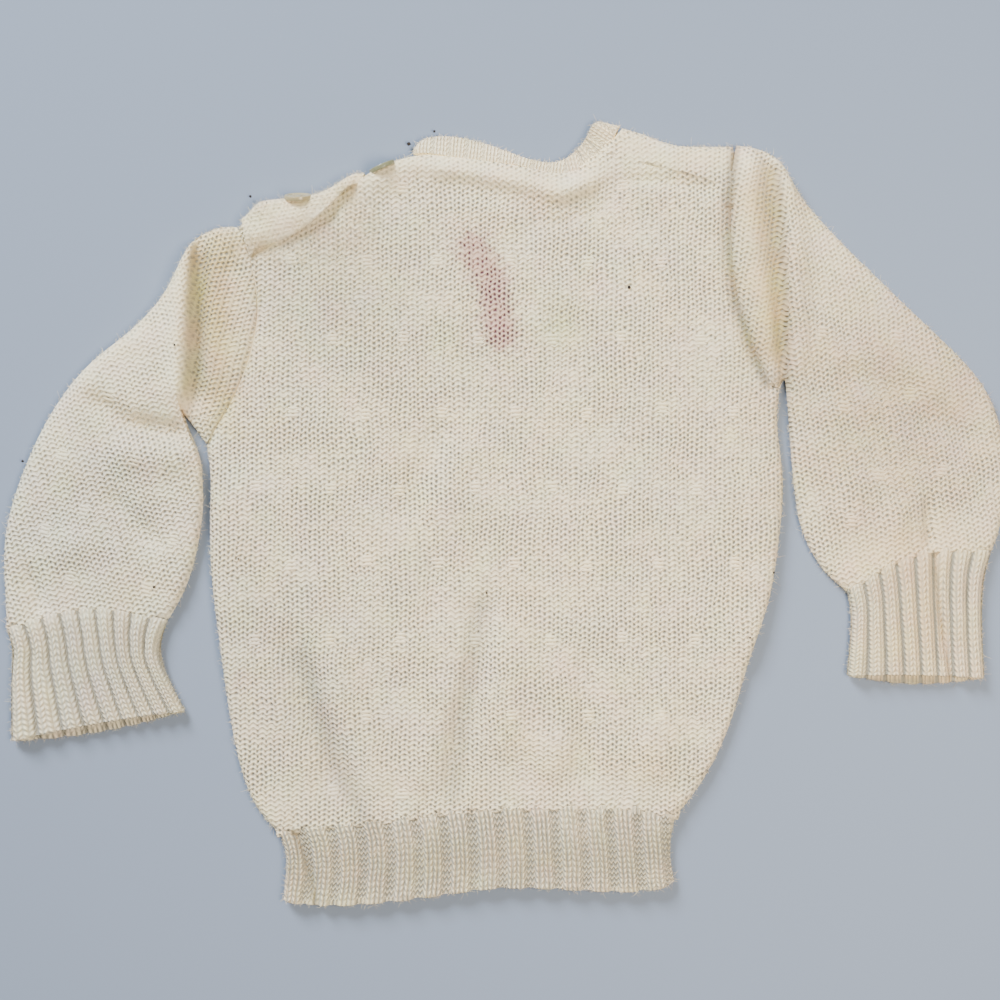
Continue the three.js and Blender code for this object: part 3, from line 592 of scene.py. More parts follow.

# Tints of the wool: the line or spot as shares of the garment, its half width in
# millimetres, its strength, and the colour that it multiplies the wool by. Many are painted
# light or painted shade, as marked below; the others are spots of a different tone.
WOOL_TINTS_AND_PAINTED_LIGHT = [
    ([(0.556, 0.741)], 13.0, 0.9, (0.82, 0.92, 0.76)),
    ([(0.446, 0.722)], 12.0, 0.8, (0.90, 0.98, 0.86)),
    ([(0.516, 0.203)], 16.0, 0.6, (0.97, 0.92, 0.84)),
    ([(0.596, 0.216), (0.640, 0.180)], 14.0, 0.6, (0.97, 0.92, 0.83)),
    # painted shade below the neckband
    ([(0.540, 0.890), (0.585, 0.900)], 7.0, 0.5, (0.95, 0.90, 0.82)),
    ([(0.226, 0.650)], 9.0, 0.5, (0.97, 0.93, 0.82)),
    # painted shade in the buttonhole
    ([(0.338, 0.906), (0.350, 0.917)], 1.5, 0.6, (0.62, 0.58, 0.50)),
    # painted shade under the lower corner of the buttonhole band
    ([(0.249, 0.832), (0.262, 0.841)], 2.6, 0.7, (0.72, 0.68, 0.58)),
    # painted shade in the fold of the hem
    ([(0.290, 0.095), (0.301, 0.065), (0.309, 0.035), (0.312, 0.004)], 1.3, 0.95,
     (0.45, 0.42, 0.36)),
    # painted shade in the fold of the right cuff
    ([(0.929, 0.440), (0.934, 0.375), (0.939, 0.330), (0.945, 0.285)], 1.0, 0.9,
     (0.56, 0.52, 0.45)),
    # painted shade in the fold across the left sleeve
    ([(0.088, 0.654), (0.126, 0.617), (0.161, 0.608), (0.190, 0.600)], 2.6, 0.6,
     (0.80, 0.76, 0.68)),
    # painted shade along the edge of the left pleat
    ([(0.193, 0.843), (0.190, 0.773), (0.188, 0.700), (0.184, 0.650)], 1.6, 0.8,
     (0.76, 0.74, 0.68)),
    # painted shadow that the left pleat casts on the strip beside it
    ([(0.201, 0.825), (0.200, 0.770), (0.199, 0.700), (0.197, 0.665)], 5.2, 0.9,
     (0.52, 0.50, 0.36)),
    # painted shadow beside the right pleat, on the strip that it overlaps
    ([(0.766, 0.935), (0.770, 0.860), (0.7745, 0.770), (0.7775, 0.700), (0.779, 0.665)], 4.2,
     0.9, (0.56, 0.53, 0.42)),
    # painted shade in the groove of the right armhole seam
    (RIGHT_ARMHOLE_LINE, 2.6, 0.95, (0.40, 0.39, 0.35)),
    # painted shade along the left armhole seam
    ([(0.252, 0.830), (0.256, 0.760), (0.240, 0.670), (0.208, 0.600)], 1.8, 0.6,
     (0.82, 0.77, 0.66)),
    # painted shade in the trough below the neckband
    ([(0.516, 0.890), (0.556, 0.874), (0.590, 0.888), (0.618, 0.925)], 4.5, 0.4,
     (0.86, 0.84, 0.80)),
    # painted shade in the long fold on the lower left of the back
    ([(0.300, 0.320), (0.331, 0.184), (0.361, 0.113)], 5.0, 0.9, (0.64, 0.65, 0.69)),
    # painted shade in the second long fold of the back
    ([(0.478, 0.380), (0.460, 0.240), (0.450, 0.140)], 4.5, 0.85, (0.68, 0.69, 0.72)),
    # painted shade: the left strip's yellower shade runs on into the underarm
    ([(0.240, 0.600), (0.190, 0.625), (0.184, 0.628)], 4.0, 0.7, (0.95, 0.92, 0.78)),
    # painted shade: the strip beside the left armhole, yellower and darker because it lies in the
    # pleat's shade
    ([(0.215, 0.830), (0.215, 0.660)], 11.0, 0.9, (0.89, 0.80, 0.58)),
    # painted shade: the strip beside the right armhole, yellower and darker because it lies in the
    # pleat's shade
    ([(0.750, 0.900), (0.762, 0.720)], 10.0, 0.9, (0.82, 0.74, 0.58)),
    # painted shade and painted warm light: the right sleeve darker and yellower, far from the middle
    # of the light
    ([(0.905, 0.640)], 62.0, 0.9, (0.70, 0.63, 0.60)),
    # painted warm light on the right cuff
    ([(0.905, 0.420), (0.925, 0.300)], 26.0, 0.9, (0.98, 0.88, 0.75)),
    ([(0.290, 0.050), (0.660, 0.070)], 14.0, 0.9, (0.76, 0.74, 0.71)),
    # painted highlight: the raised neckband made lighter
    ([(0.410, 0.968), (0.470, 0.965), (0.540, 0.948), (0.577, 0.948), (0.600, 0.975),
      (0.606, 0.990)], 4.5, 1.0, (1.24, 1.25, 1.24)),
    # painted shadow on the lower layer that shows under the right cuff
    ([(0.838, 0.2865), (0.930, 0.2850)], 1.7, 0.95, (0.58, 0.62, 0.68)),
    # painted shadow on the lower layer that shows under the left cuff
    ([(0.030, 0.2050), (0.160, 0.2300)], 1.4, 0.8, (0.80, 0.83, 0.86)),
    # painted shade over the upper left of the back, far from the middle of the light
    ([(0.330, 0.790)], 42.0, 0.9, (0.76, 0.79, 0.80)),
    ([(0.560, 0.965), (0.600, 0.990)], 12.0, 0.6, (1.0, 0.96, 0.86)),
    # painted shade on the lower left of the back, which faces away from the lamp
    ([(0.300, 0.250), (0.250, 0.330)], 42.0, 0.9, (0.87, 0.885, 0.915)),
    # painted shade: the left sleeve cooler and darker, away from the warm lamp
    ([(0.080, 0.500)], 60.0, 0.9, (0.80, 0.87, 0.99)),
    # painted shade: the left cuff cooler and darker, away from the warm lamp
    ([(0.085, 0.285)], 26.0, 0.9, (0.84, 0.88, 0.97)),
]
PINK_LINE = [(0.4690, 0.8370), (0.4880, 0.7950), (0.4965, 0.7270)]
PINK_HALF_WIDTH = 8.2

# Where wear has felted the wool and closed its stitches: line as shares, half width in
# millimetres, and how far.
FELTED = [
    ([(0.385, 0.945), (0.470, 0.935), (0.556, 0.915), (0.600, 0.935)], 6.0, 0.75),
    ([(0.630, 0.965), (0.700, 0.950), (0.740, 0.945)], 7.0, 0.75),
    ([(0.742, 0.930), (0.750, 0.830), (0.768, 0.700)], 6.0, 0.7),
    ([(0.800, 0.900), (0.850, 0.780), (0.960, 0.620)], 16.0, 0.5),
    ([(0.176, 0.820), (0.174, 0.650)], 9.0, 0.7),
    ([(0.060, 0.620), (0.150, 0.760)], 26.0, 0.5),
    ([(0.030, 0.380), (0.150, 0.400)], 12.0, 0.4),
    ([(0.280, 0.135), (0.430, 0.160), (0.650, 0.150)], 8.0, 0.35),
    ([(0.850, 0.450), (0.980, 0.480)], 10.0, 0.6),
    ([(0.250, 0.840), (0.320, 0.880), (0.380, 0.935)], 7.0, 0.6),
]


def write_tints(piece):
    """The tints of painted light, painted shade and other tones as attributes of the cloth: a colour
    to multiply by, the pink dye, felt, and how much each point faces up or down, where the hollows'
    painted shade goes.
    """
    points = points_of(piece)
    plan = points[:, :2]
    tint = np.ones((len(plan), 4))
    for line, half_width, strength, colour in WOOL_TINTS_AND_PAINTED_LIGHT:
        corners = [place(*p) for p in line]
        if len(corners) == 1:
            away = np.linalg.norm(plan - corners[0], axis=1)
        else:
            away = line_distance(plan, corners)
        share = strength * np.exp(-((away / (half_width * MM)) ** 2))
        tint[:, :3] *= 1 + share[:, None] * (np.array(colour) - 1)
    felt = np.zeros(len(plan))
    for line, half_width, strength in FELTED:
        away = line_distance(plan, [place(*p) for p in line])
        felt = np.maximum(felt, strength * np.exp(-((away / (half_width * MM)) ** 2)))
    layer = piece.data.attributes.new("felt", "FLOAT", "POINT")
    layer.data.foreach_set("value", felt * upper_share(points))
    layer = piece.data.attributes.new("tint", "FLOAT_COLOR", "POINT")
    layer.data.foreach_set("color", tint.ravel())
    away = line_distance(plan, [place(*p) for p in PINK_LINE])
    ragged = 1 + 0.35 * np.sin(plan[:, 1] * 900) * np.sin(plan[:, 0] * 700)
    pink = np.exp(-((away / (PINK_HALF_WIDTH * MM * ragged)) ** 4)) * upper_share(points)
    layer = piece.data.attributes.new("pink", "FLOAT", "POINT")
    layer.data.foreach_set("value", pink)
    layer = piece.data.attributes.new("facing", "FLOAT", "POINT")
    layer.data.foreach_set("value", smooth_step(0.2, 0.7, np.abs(normals_of(piece)[:, 2])))


# ------------------------------------------------------------------ shader helpers


class Nodes:
    """Adds nodes to a tree in short lines, and links what it is given."""

    def __init__(self, tree):
        self.tree = tree

    def add(self, kind, inputs=(), **values):
        node = self.tree.nodes.new(kind)
        for name, value in values.items():
            setattr(node, name, value)
        for socket, value in dict(inputs).items():
            self.feed(node.inputs[socket], value)
        return node

    def feed(self, socket, value):
        if isinstance(value, bpy.types.NodeSocket):
            self.tree.links.new(value, socket)
        else:
            socket.default_value = value

    def sum(self, operation, a, b=0.0, c=0.0):
        node = self.tree.nodes.new("ShaderNodeMath")
        node.operation = operation
        for socket, value in zip(node.inputs, (a, b, c)):
            self.feed(socket, value)
        return node.outputs[0]

    def wave(self, turns):
        """Cosine of a number of turns."""
        return self.sum("COSINE", self.sum("MULTIPLY", turns, 2 * math.pi))

    def mix(self, share, a, b, blend="MIX"):
        node = self.add("ShaderNodeMix", data_type="RGBA", blend_type=blend)
        for socket, value in zip((0, 6, 7), (share, a, b)):
            self.feed(node.inputs[socket], value)
        return node.outputs[2]


def new_group(name, inputs, outputs):
    """An empty shader group with those sockets, and its input and output nodes."""
    group = bpy.data.node_groups.new(name, "ShaderNodeTree")
    for socket, kind in inputs:
        group.interface.new_socket(socket, in_out="INPUT", socket_type=kind)
    for socket, kind in outputs:
        group.interface.new_socket(socket, in_out="OUTPUT", socket_type=kind)
    nodes = Nodes(group)
    return group, nodes, nodes.add("NodeGroupInput").outputs, nodes.add("NodeGroupOutput").inputs


FLOAT, VECTOR, COLOR = "NodeSocketFloat", "NodeSocketVector", "NodeSocketColor"


def hand_group():
    """Stitch coordinates made uneven, as by hand: input and output in stitches."""
    group, n, given, out = new_group(
        "Uneven hand", [("Stitches", VECTOR), ("Amount", FLOAT)], [("Stitches", VECTOR)]
    )
    where = n.add("ShaderNodeTexCoord").outputs["Object"]
    moved = given["Stitches"]
    for scale, share in ((170.0, 0.8), (38.0, 1.7)):
        noise = n.add("ShaderNodeTexNoise", {"Vector": where, "Scale": scale, "Detail": 2.0})
        centred = n.add(
            "ShaderNodeVectorMath", {0: noise.outputs["Color"], 1: (0.5, 0.5, 0.5)},
            operation="SUBTRACT",
        )
        scaled = n.add(
            "ShaderNodeVectorMath",
            {0: centred.outputs[0], "Scale": n.sum("MULTIPLY", given["Amount"], share)},
            operation="SCALE",
        )
        moved = n.add(
            "ShaderNodeVectorMath", {0: moved, 1: scaled.outputs[0]}, operation="ADD"
        ).outputs[0]
    n.feed(out["Stitches"], moved)
    return group


def purl_group():
    """Relief of the purl side: rows of a wave whose crests lie over each other like bricks."""
    group, n, given, out = new_group(
        "Purl relief", [("Stitches", VECTOR)], [("Height", FLOAT), ("Hollow", FLOAT)]
    )
    parts = n.add("ShaderNodeSeparateXYZ", {0: given["Stitches"]}).outputs
    side = n.wave(parts[0])
    crest = n.sum("MULTIPLY", side, side)
    phase = n.sum("SUBTRACT", parts[1], n.sum("MULTIPLY", side, 0.25))
    ridge = n.sum("MULTIPLY_ADD", n.wave(phase), 0.5, 0.5)
    gap = n.sum("SUBTRACT", 1.0, ridge)
    # The pits are where shade is painted (Hollow); the arcs of yarn, high in Height, are painted
    # lighter through the wool's Relief.
    pit = n.sum("MULTIPLY", n.sum("POWER", gap, 1.5), n.sum("POWER", crest, 1.5))
    pit = n.sum("MULTIPLY", pit, uneven_share(n, given["Stitches"]))
    arc = n.sum("POWER", ridge, 2.0)
    n.feed(out["Height"], n.sum(
        "ADD", n.sum("MULTIPLY_ADD", pit, -0.68, 0.68), n.sum("MULTIPLY", arc, 0.32)))
    n.feed(out["Hollow"], pit)
    return group


def uneven_share(n, stitches):
    """How open each stitch is: some holes gape and others are closed by fuzz."""
    noise = n.add("ShaderNodeTexNoise", {"Vector": stitches, "Scale": 1.1, "Detail": 3.0})
    broad = n.add("ShaderNodeTexNoise", {"Vector": stitches, "Scale": 0.11, "Detail": 2.0})
    both = n.sum("ADD", noise.outputs["Fac"], n.sum("MULTIPLY", broad.outputs["Fac"], 0.8))
    share = n.sum("MULTIPLY_ADD", both, 3.4, -2.1)
    return n.add("ShaderNodeClamp", {"Value": share, "Min": 0.12, "Max": 1.5}).outputs[0]


def rib_group():
    """Relief of ribbing: two knit columns of slanting legs, then two purl columns."""
    group, n, given, out = new_group(
        "Rib relief",
        [("Stitches", VECTOR), ("Knit Share", FLOAT), ("Legs", FLOAT), ("Groove", FLOAT)],
        [("Height", FLOAT), ("Hollow", FLOAT)],
    )
    parts = n.add("ShaderNodeSeparateXYZ", {0: given["Stitches"]}).outputs
    across = n.sum("FRACT", n.sum("DIVIDE", parts[0], 4.0))
    off = n.sum("SUBTRACT", across, 0.5)
    inside = n.sum("SUBTRACT", n.sum("MULTIPLY", given["Knit Share"], 0.5),
                   n.sum("ABSOLUTE", off))
    knit = n.add("ShaderNodeClamp", {"Value": n.sum("MULTIPLY_ADD", inside, 14.0, 0.5)})
    knit = knit.outputs[0]
    in_band = n.sum("ADD", n.sum("DIVIDE", off, given["Knit Share"]), 0.5)
    leg = n.sum("MULTIPLY_ADD", n.wave(n.sum("MULTIPLY", in_band, 4.0)), -0.5, 0.5)
    lean = n.sum("ABSOLUTE", n.sum(
        "SUBTRACT", n.sum("FRACT", n.sum("MULTIPLY", in_band, 2.0)), 0.5))
    row = n.sum("MULTIPLY_ADD", n.wave(n.sum("MULTIPLY_ADD", lean, -1.3, parts[1])), 0.5, 0.5)
    plain = n.sum("SUBTRACT", 1.0, given["Legs"])
    leg = n.sum("MULTIPLY_ADD", n.sum("POWER", leg, 0.7), given["Legs"], plain)
    knit_height = n.sum("MULTIPLY", leg, n.sum("MULTIPLY_ADD", row, 0.5, 0.5))
    groove = n.sum("SUBTRACT", 1.0, knit)
    purl_side = n.wave(n.sum("MULTIPLY", across, 7.0))
    purl_phase = n.sum("SUBTRACT", parts[1], n.sum("MULTIPLY", purl_side, 0.22))
    purl_height = n.sum("MULTIPLY_ADD", n.wave(purl_phase), 0.32, 0.34)
    height = n.sum(
        "ADD", n.sum("MULTIPLY", knit_height, knit), n.sum("MULTIPLY", purl_height, groove),
    )
    n.feed(out["Height"], height)
    # Painted shade deep in the pits of the stitches and in the purl grooves (Hollow).
    deep = n.sum("POWER", n.sum("SUBTRACT", 1.0, height), 2.2)
    deep = n.sum("MULTIPLY", deep, n.sum("MULTIPLY_ADD", groove, 0.15, 0.75))
    deep = n.sum("MULTIPLY", deep, uneven_share(n, given["Stitches"]))
    # A painted dark line of shade down the middle of each purl groove, as strong as Groove.
    line = n.sum("POWER", n.sum("MULTIPLY_ADD", n.wave(across), 0.5, 0.5), 7.0)
    n.feed(out["Hollow"], n.sum("MULTIPLY_ADD", line, given["Groove"], deep))
    return group


def wool_group():
    """Colour and fine relief of the yarn: tints of painted light, painted shade and other tones, dye,
    painted shade in the hollows, painted light on the high yarn, mottling and fibres.
    """
    group, n, given, out = new_group(
        "Wool",
        [("Wool", COLOR), ("Hollow Shade", COLOR), ("Pink", COLOR), ("Hollow", FLOAT),
         ("Hollow Strength", FLOAT), ("Relief", FLOAT)],
        [("Color", COLOR), ("Fibre", FLOAT)],
    )
    where = n.add("ShaderNodeTexCoord").outputs["Object"]
    tint = n.add("ShaderNodeAttribute", attribute_name="tint").outputs["Color"]
    dye = n.add("ShaderNodeAttribute", attribute_name="pink").outputs["Fac"]
    facing = n.add("ShaderNodeAttribute", attribute_name="facing").outputs["Fac"]
    mottle = n.add("ShaderNodeTexNoise", {"Vector": where, "Scale": 60.0, "Detail": 4.0})
    blotch = n.add("ShaderNodeTexNoise", {"Vector": where, "Scale": 14.0, "Detail": 3.0})
    fine = n.add("ShaderNodeTexNoise", {"Vector": where, "Scale": 900.0, "Detail": 3.0})
    light = n.sum("MULTIPLY_ADD", mottle.outputs["Fac"], 0.16, 0.92)
    grain = n.sum("MULTIPLY_ADD", fine.outputs["Fac"], 0.20, 0.90)
    shade = n.sum("MULTIPLY", light, grain)
    # Painted light and shade: yarn that stands high is made lighter and yarn that lies low darker.
    shade = n.sum("MULTIPLY", shade, n.sum("MULTIPLY_ADD", given["Relief"], 0.16, 0.90))
    base = n.mix(1.0, given["Wool"], tint, "MULTIPLY")
    warm = n.sum("MULTIPLY", blotch.outputs["Fac"], 0.35)
    base = n.mix(warm, base, n.mix(1.0, base, (0.98, 0.95, 0.88, 1), "MULTIPLY"))
    hues = n.add("ShaderNodeTexNoise", {"Vector": where, "Scale": 75.0, "Detail": 1.0})
    base = n.mix(0.07, base, hues.outputs["Color"], "LINEAR_LIGHT")
    pale_dye = n.mix(n.sum("MULTIPLY", dye, 0.50), base, given["Pink"])
    # Painted shade in the hollows between stitches: less where felted, only on faces seen from above
    # or below, and more where dyed.
    hollow_shade = n.sum("MULTIPLY", given["Hollow"], given["Hollow Strength"])
    felt = n.add("ShaderNodeAttribute", attribute_name="felt").outputs["Fac"]
    hollow_shade = n.sum("MULTIPLY", hollow_shade, n.sum("MULTIPLY_ADD", felt, -0.9, 1.0))
    hollow_shade = n.sum("MULTIPLY", hollow_shade, facing)
    hollow_shade = n.sum("MULTIPLY", hollow_shade, n.sum("MULTIPLY_ADD", dye, 0.9, 1.0))
    hollow_shade = n.add("ShaderNodeClamp", {"Value": hollow_shade}).outputs[0]
    # Painted shade of the dyed wool deep in its hollows.
    shaded_dye = n.mix(1.0, given["Pink"], (0.33, 0.38, 0.38, 1), "MULTIPLY")
    depth = n.mix(dye, given["Hollow Shade"], shaded_dye)
    mixed = n.mix(hollow_shade, pale_dye, depth)
    grey = n.add("ShaderNodeCombineColor", {0: shade, 1: shade, 2: shade})
    n.feed(out["Color"], n.mix(1.0, mixed, grey.outputs[0], "MULTIPLY"))
    n.feed(out["Fibre"], fine.outputs["Fac"])
    return group


def shader_groups():
    """The groups that the wool materials share, made once."""
    makers = {
        "Uneven hand": hand_group, "Purl relief": purl_group,
        "Rib relief": rib_group, "Wool": wool_group,
    }
    return {name: bpy.data.node_groups.get(name) or make() for name, make in makers.items()}


def wool_material(name, relief, stitch_height, hollow_strength, colours, uneven=0.0, rib=()):
    """Wool with the relief of one of the stitch groups, or smooth yarn without one.

    A rib states its knit share, how far its legs stand out and how dark the shade painted in its
    grooves is; hollow_strength is how dark the shade painted in the hollows is.
    """
    material = bpy.data.materials.get(name)
    if material:
        return material
    groups = shader_groups()
    material = bpy.data.materials.new(name)
    material.use_nodes = True
    material.node_tree.nodes.clear()
    n = Nodes(material.node_tree)
    surface = n.add(
        "ShaderNodeBsdfPrincipled",
        {"Roughness": 0.92, "Sheen Weight": 0.25, "Sheen Roughness": 0.5,
         "Specular IOR Level": 0.25},
    )
    wool = n.add("ShaderNodeGroup", node_tree=groups["Wool"])
    n.feed(wool.inputs["Wool"], (*colours.wool, 1))
    n.feed(wool.inputs["Hollow Shade"], (*colours.hollow_shade, 1))
    n.feed(wool.inputs["Pink"], (*colours.pink, 1))
    n.feed(wool.inputs["Hollow Strength"], hollow_strength)
    n.feed(wool.inputs["Relief"], 0.6)
    fibre = n.add(
        "ShaderNodeBump", {"Height": wool.outputs["Fibre"], "Distance": 0.00025, "Strength": 0.5}
    )
    normal = fibre.outputs[0]
    if relief:
        uv = n.add("ShaderNodeUVMap", uv_map="stitches")
        hand = n.add("ShaderNodeGroup", node_tree=groups["Uneven hand"])
        n.feed(hand.inputs["Stitches"], uv.outputs[0])
        n.feed(hand.inputs["Amount"], uneven)
        stitches = n.add("ShaderNodeGroup", node_tree=groups[relief])
        n.feed(stitches.inputs["Stitches"], hand.outputs[0])
        for socket, value in zip(("Knit Share", "Legs", "Groove"), rib):
            n.feed(stitches.inputs[socket], value)
        # The stitches' Hollow is painted into the colour as shade, and their Height as light and
        # shade.
        n.feed(wool.inputs["Hollow"], stitches.outputs["Hollow"])
        n.feed(wool.inputs["Relief"], stitches.outputs["Height"])
        felt = n.add("ShaderNodeAttribute", attribute_name="felt").outputs["Fac"]
        bump = n.add(
            "ShaderNodeBump",
            {"Height": stitches.outputs["Height"], "Distance": stitch_height,
             "Strength": n.sum("MULTIPLY_ADD", felt, -0.6, 1.0), "Normal": normal},
        )
        normal = bump.outputs[0]
    n.feed(surface.inputs["Base Color"], wool.outputs["Color"])
    n.feed(surface.inputs["Normal"], normal)
    output = n.add("ShaderNodeOutputMaterial")
    n.feed(output.inputs["Surface"], surface.outputs[0])
    return material


def purl_material(colours):
    return wool_material("Purl knit", "Purl relief", 0.0011, 0.9, colours, uneven=0.6)


def soft_material(colours):
    """Felted knitting, whose stitches are half hidden by fuzz."""
    return wool_material("Felted knit", "Purl relief", 0.0006, 0.3, colours, uneven=1.0)


def rib_material(colours):
    return wool_material(
        "Hem ribbing", "Rib relief", 0.0013, 1.1, colours, uneven=0.3, rib=(0.66, 1.0, 0.30)
    )


def cuff_material(colours):
    return wool_material(
        "Cuff ribbing", "Rib relief", 0.0011, 1.0, colours, uneven=0.3, rib=(0.96, 0.7, 1.15)
    )


def neck_material(colours):
    return wool_material(
        "Neck ribbing", "Rib relief", 0.0009, 0.35, colours, uneven=0.3, rib=(0.8, 1.0, 0.1)
    )


def yarn_material(colours):
    return wool_material("Yarn", None, 0.0, 0.0, colours)


def plain_material(name, colour, roughness=0.7):
    """One plain colour with a little unevenness."""
    material = bpy.data.materials.new(name)
    material.use_nodes = True
    material.node_tree.nodes.clear()
    n = Nodes(material.node_tree)
    where = n.add("ShaderNodeTexCoord").outputs["Object"]
    noise = n.add("ShaderNodeTexNoise", {"Vector": where, "Scale": 400.0, "Detail": 2.0})
    dark = tuple(0.75 * c for c in colour)
    mixed = n.mix(noise.outputs["Fac"], (*colour, 1), (*dark, 1))
    surface = n.add("ShaderNodeBsdfPrincipled", {"Base Color": mixed, "Roughness": roughness})
    n.add("ShaderNodeOutputMaterial", {"Surface": surface.outputs[0]})
    return material


# ------------------------------------------------------------------ seams


SEWN_WITHIN = 1.6 * MM  # two nodes are sewn where they come this near to each other
SEAM_PARTS = 14  # a seam's line has one corner for each of these parts
SEAM_LEAST = 0.3 * MM  # corners nearer than this are left out
UPPER_EDGE = 0.7 * MM  # the upper edges of the cloth are this near to its upper face
SEAM_REACH = 2.9 * MM  # how far from a seam the cloth sinks


def seam_line(node_a, node_b, along, run_on):
    """The upper line where two nodes are sewn together, sorted along an axis."""
    tree = surface_tree(frame["nodes"][node_b])
    found = []
    for vertex in frame["nodes"][node_a].data.vertices:
        if vertex.co.z < CLOTH_TOP - UPPER_EDGE:
            continue
        hit = tree.find_nearest(vertex.co, SEWN_WITHIN)
        if hit[0] is not None:
            found.append((vertex.co + hit[0]) / 2)
    found = np.array(sorted({tuple(round(c, 5) for c in p) for p in found}, key=lambda p: p[along]))
    if len(found) < 2:
        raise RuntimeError(f"{node_a} and {node_b} have no seam")
    edges = np.linspace(found[0, along], found[-1, along], SEAM_PARTS + 1)
    line = [found[0]]
    for low, high in zip(edges[:-1], edges[1:]):
        inside = found[(found[:, along] >= low) & (found[:, along] <= high)]
        if len(inside):
            line.append(inside.mean(axis=0))
    line.append(found[-1])
    line = np.array(line)
    line = line[np.append(True, np.linalg.norm(np.diff(line, axis=0), axis=1) > SEAM_LEAST)]
    for end, inner in ((0, 1), (-1, -2)):
        run = line[end] - line[inner]
        line[end] += run / np.linalg.norm(run) * run_on * MM
    return line


# Each seam: the two nodes, the axis it runs along, how deep the cloth sinks at it and how
# far its yarn runs on past each end, in millimetres.
SEAMS = {
    "left_armhole": ("left_sleeve", "back", 1, 1.1, 1.5),
    "right_armhole": ("right_sleeve", "back", 1, 1.7, 0.5),
    "right_armhole_top": ("right_sleeve", "front", 1, 0.9, 1.0),
    "hem": ("back_hem_rib", "back", 0, 0.25, 6.0),
    "left_cuff": ("left_cuff", "left_sleeve", 0, 0.2, 4.5),
    "right_cuff": ("right_cuff", "right_sleeve", 0, 0.2, 4.0),
    "neck": ("neckband", "back", 0, 0.5, 0.0),
    "neck_end": ("neckband", "front", 1, 0.4, 1.0),
    "shoulder": ("front", "back", 0, 0.2, 3.0),
}


def seam_lines():
    """The line of every seam that shows."""
    return {
        name: seam_line(a, b, along, run_on) for name, (a, b, along, _, run_on) in SEAMS.items()
    }


def sink_at_seams(points, lines):
    """A soft groove along each seam, in metres."""
    height = np.zeros(len(points))
    for name, line in lines.items():
        away = line_distance(points, line[:, :2]) / SEAM_REACH
        height = np.minimum(height, -SEAMS[name][3] * MM * np.exp(-(away**2)))
    return height


def close_seams(piece, node, lines):
    """Draws the upper edges of a piece a hair over its seams, so that they leave no gap."""
    lap, least, most, fade = 0.15 * MM, 0.05 * MM, 0.6 * MM, 1.7 * MM
    points = points_of(piece)
    upper = upper_share(points)
    for name, line in lines.items():
        if node not in SEAMS[name][:2]:
            continue
        plan = points[:, :2]
        best, offset, normal = np.full(len(plan), np.inf), np.zeros(len(plan)), np.zeros_like(plan)
        for a, b in zip(line[:-1, :2], line[1:, :2]):
            run = b - a
            share = np.clip((plan - a) @ run / (run @ run), 0, 1)
            off = plan - a - share[:, None] * run
            away = np.linalg.norm(off, axis=1)
            across = np.array([-run[1], run[0]]) / np.linalg.norm(run)
            closer = away < best
            best[closer], offset[closer] = away[closer], (off @ across)[closer]
            normal[closer] = across
        side = np.sign(np.median(offset[best < 5 * MM]))
        inward = offset * side
        pull = np.clip(inward + lap, least, most)
        pull *= np.exp(-((best / fade) ** 2)) * upper
        points[:, :2] -= side * normal * pull[:, None]
    set_points(piece, points)


# ------------------------------------------------------------------ finishing a piece


def finish_piece(piece, material, nodes=()):
    """The last steps that every piece shares."""
    piece.data.materials.clear()
    piece.data.materials.append(material)
    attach(piece, "root")
    if nodes:
        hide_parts(*nodes)


def finish_cloth(piece, node, material, stitches_at):
    """The last steps of a sheet of cloth: its stitches, its tints of painted light, painted shade and
    other tones, and its material.
    """
    write_stitches(piece, stitches_at)
    write_tints(piece)
    finish_piece(piece, material, [node])


# Waves of the gathers over the hem: share, turn for each millimetre, and where they start.
PUCKERS = [(1.0, 0.42, 1.0), (0.7, 0.83, 2.0), (0.6, 0.27, 0.0)]
PUCKER_HEIGHT, PUCKER_REACH = 0.35 * MM, 11 * MM


def hem_puckers(points, line):
    """Small upright gathers where the plain knitting is drawn into the ribbing."""
    away = points[:, 1] - np.interp(points[:, 0], line[:, 0], line[:, 1])
    x = points[:, 0] * 1000
    wave = sum(share * np.sin(x * turn + start) for share, turn, start in PUCKERS)
    return PUCKER_HEIGHT * wave * np.exp(-np.maximum(away, 0) / PUCKER_REACH)


DEEPEST = -1.6 * MM  # no fold of the back goes lower than this, into the front
SHOULDER_EDGE = place(0, 0.94)[1] - 0.02  # the front shows above this height in plan


def body_relief(plan, lines):
    """Folds, gathers and seams of the back, in metres."""
    height = fold_relief(plan, BODY_FOLDS) + wander(plan, *UNEVEN["back"])
    height += hem_puckers(plan, lines["hem"])
    height += sink_at_seams(plan, lines)
    return np.maximum(height, DEEPEST)


def front_relief(plan):
    """Unevenness of the front where it wraps over the right shoulder, in metres."""
    return wander(plan, *UNEVEN["front"]) * (plan[:, 1] > SHOULDER_EDGE)


def sleeve_relief(plan, lines, sleeve):
    """Folds and seams of a sleeve, in metres."""
    height = fold_relief(plan, SLEEVES[sleeve][0]) + wander(plan, *UNEVEN[sleeve])
    for line, over, under, side in LEDGES:
        height += ledge_relief(plan, line, over * MM, under * MM, side)
    return height + sink_at_seams(plan, lines)


class SWEATER_OT_body(bpy.types.Operator):
    """Back and front: plain knitting with its purl side out"""

    bl_idname = "sweater.body"
    bl_label = "Body"

    def execute(self, context):
        knit, colours = context.scene.sweater_knit, context.scene.sweater_colours
        lines = seam_lines()
        back = cloth_from("back", "knitted_back", 3)
        lift_upper_layer(back, lambda plan: body_relief(plan, lines))
        front = cloth_from("front", "knitted_front", 2)
        close_seams(back, "back", lines)
        close_seams(front, "front", lines)
        lift_upper_layer(front, front_relief)
        for piece, node in ((back, "back"), (front, "front")):
            finish_cloth(piece, node, purl_material(colours), plain_stitches(knit))
        return {"FINISHED"}


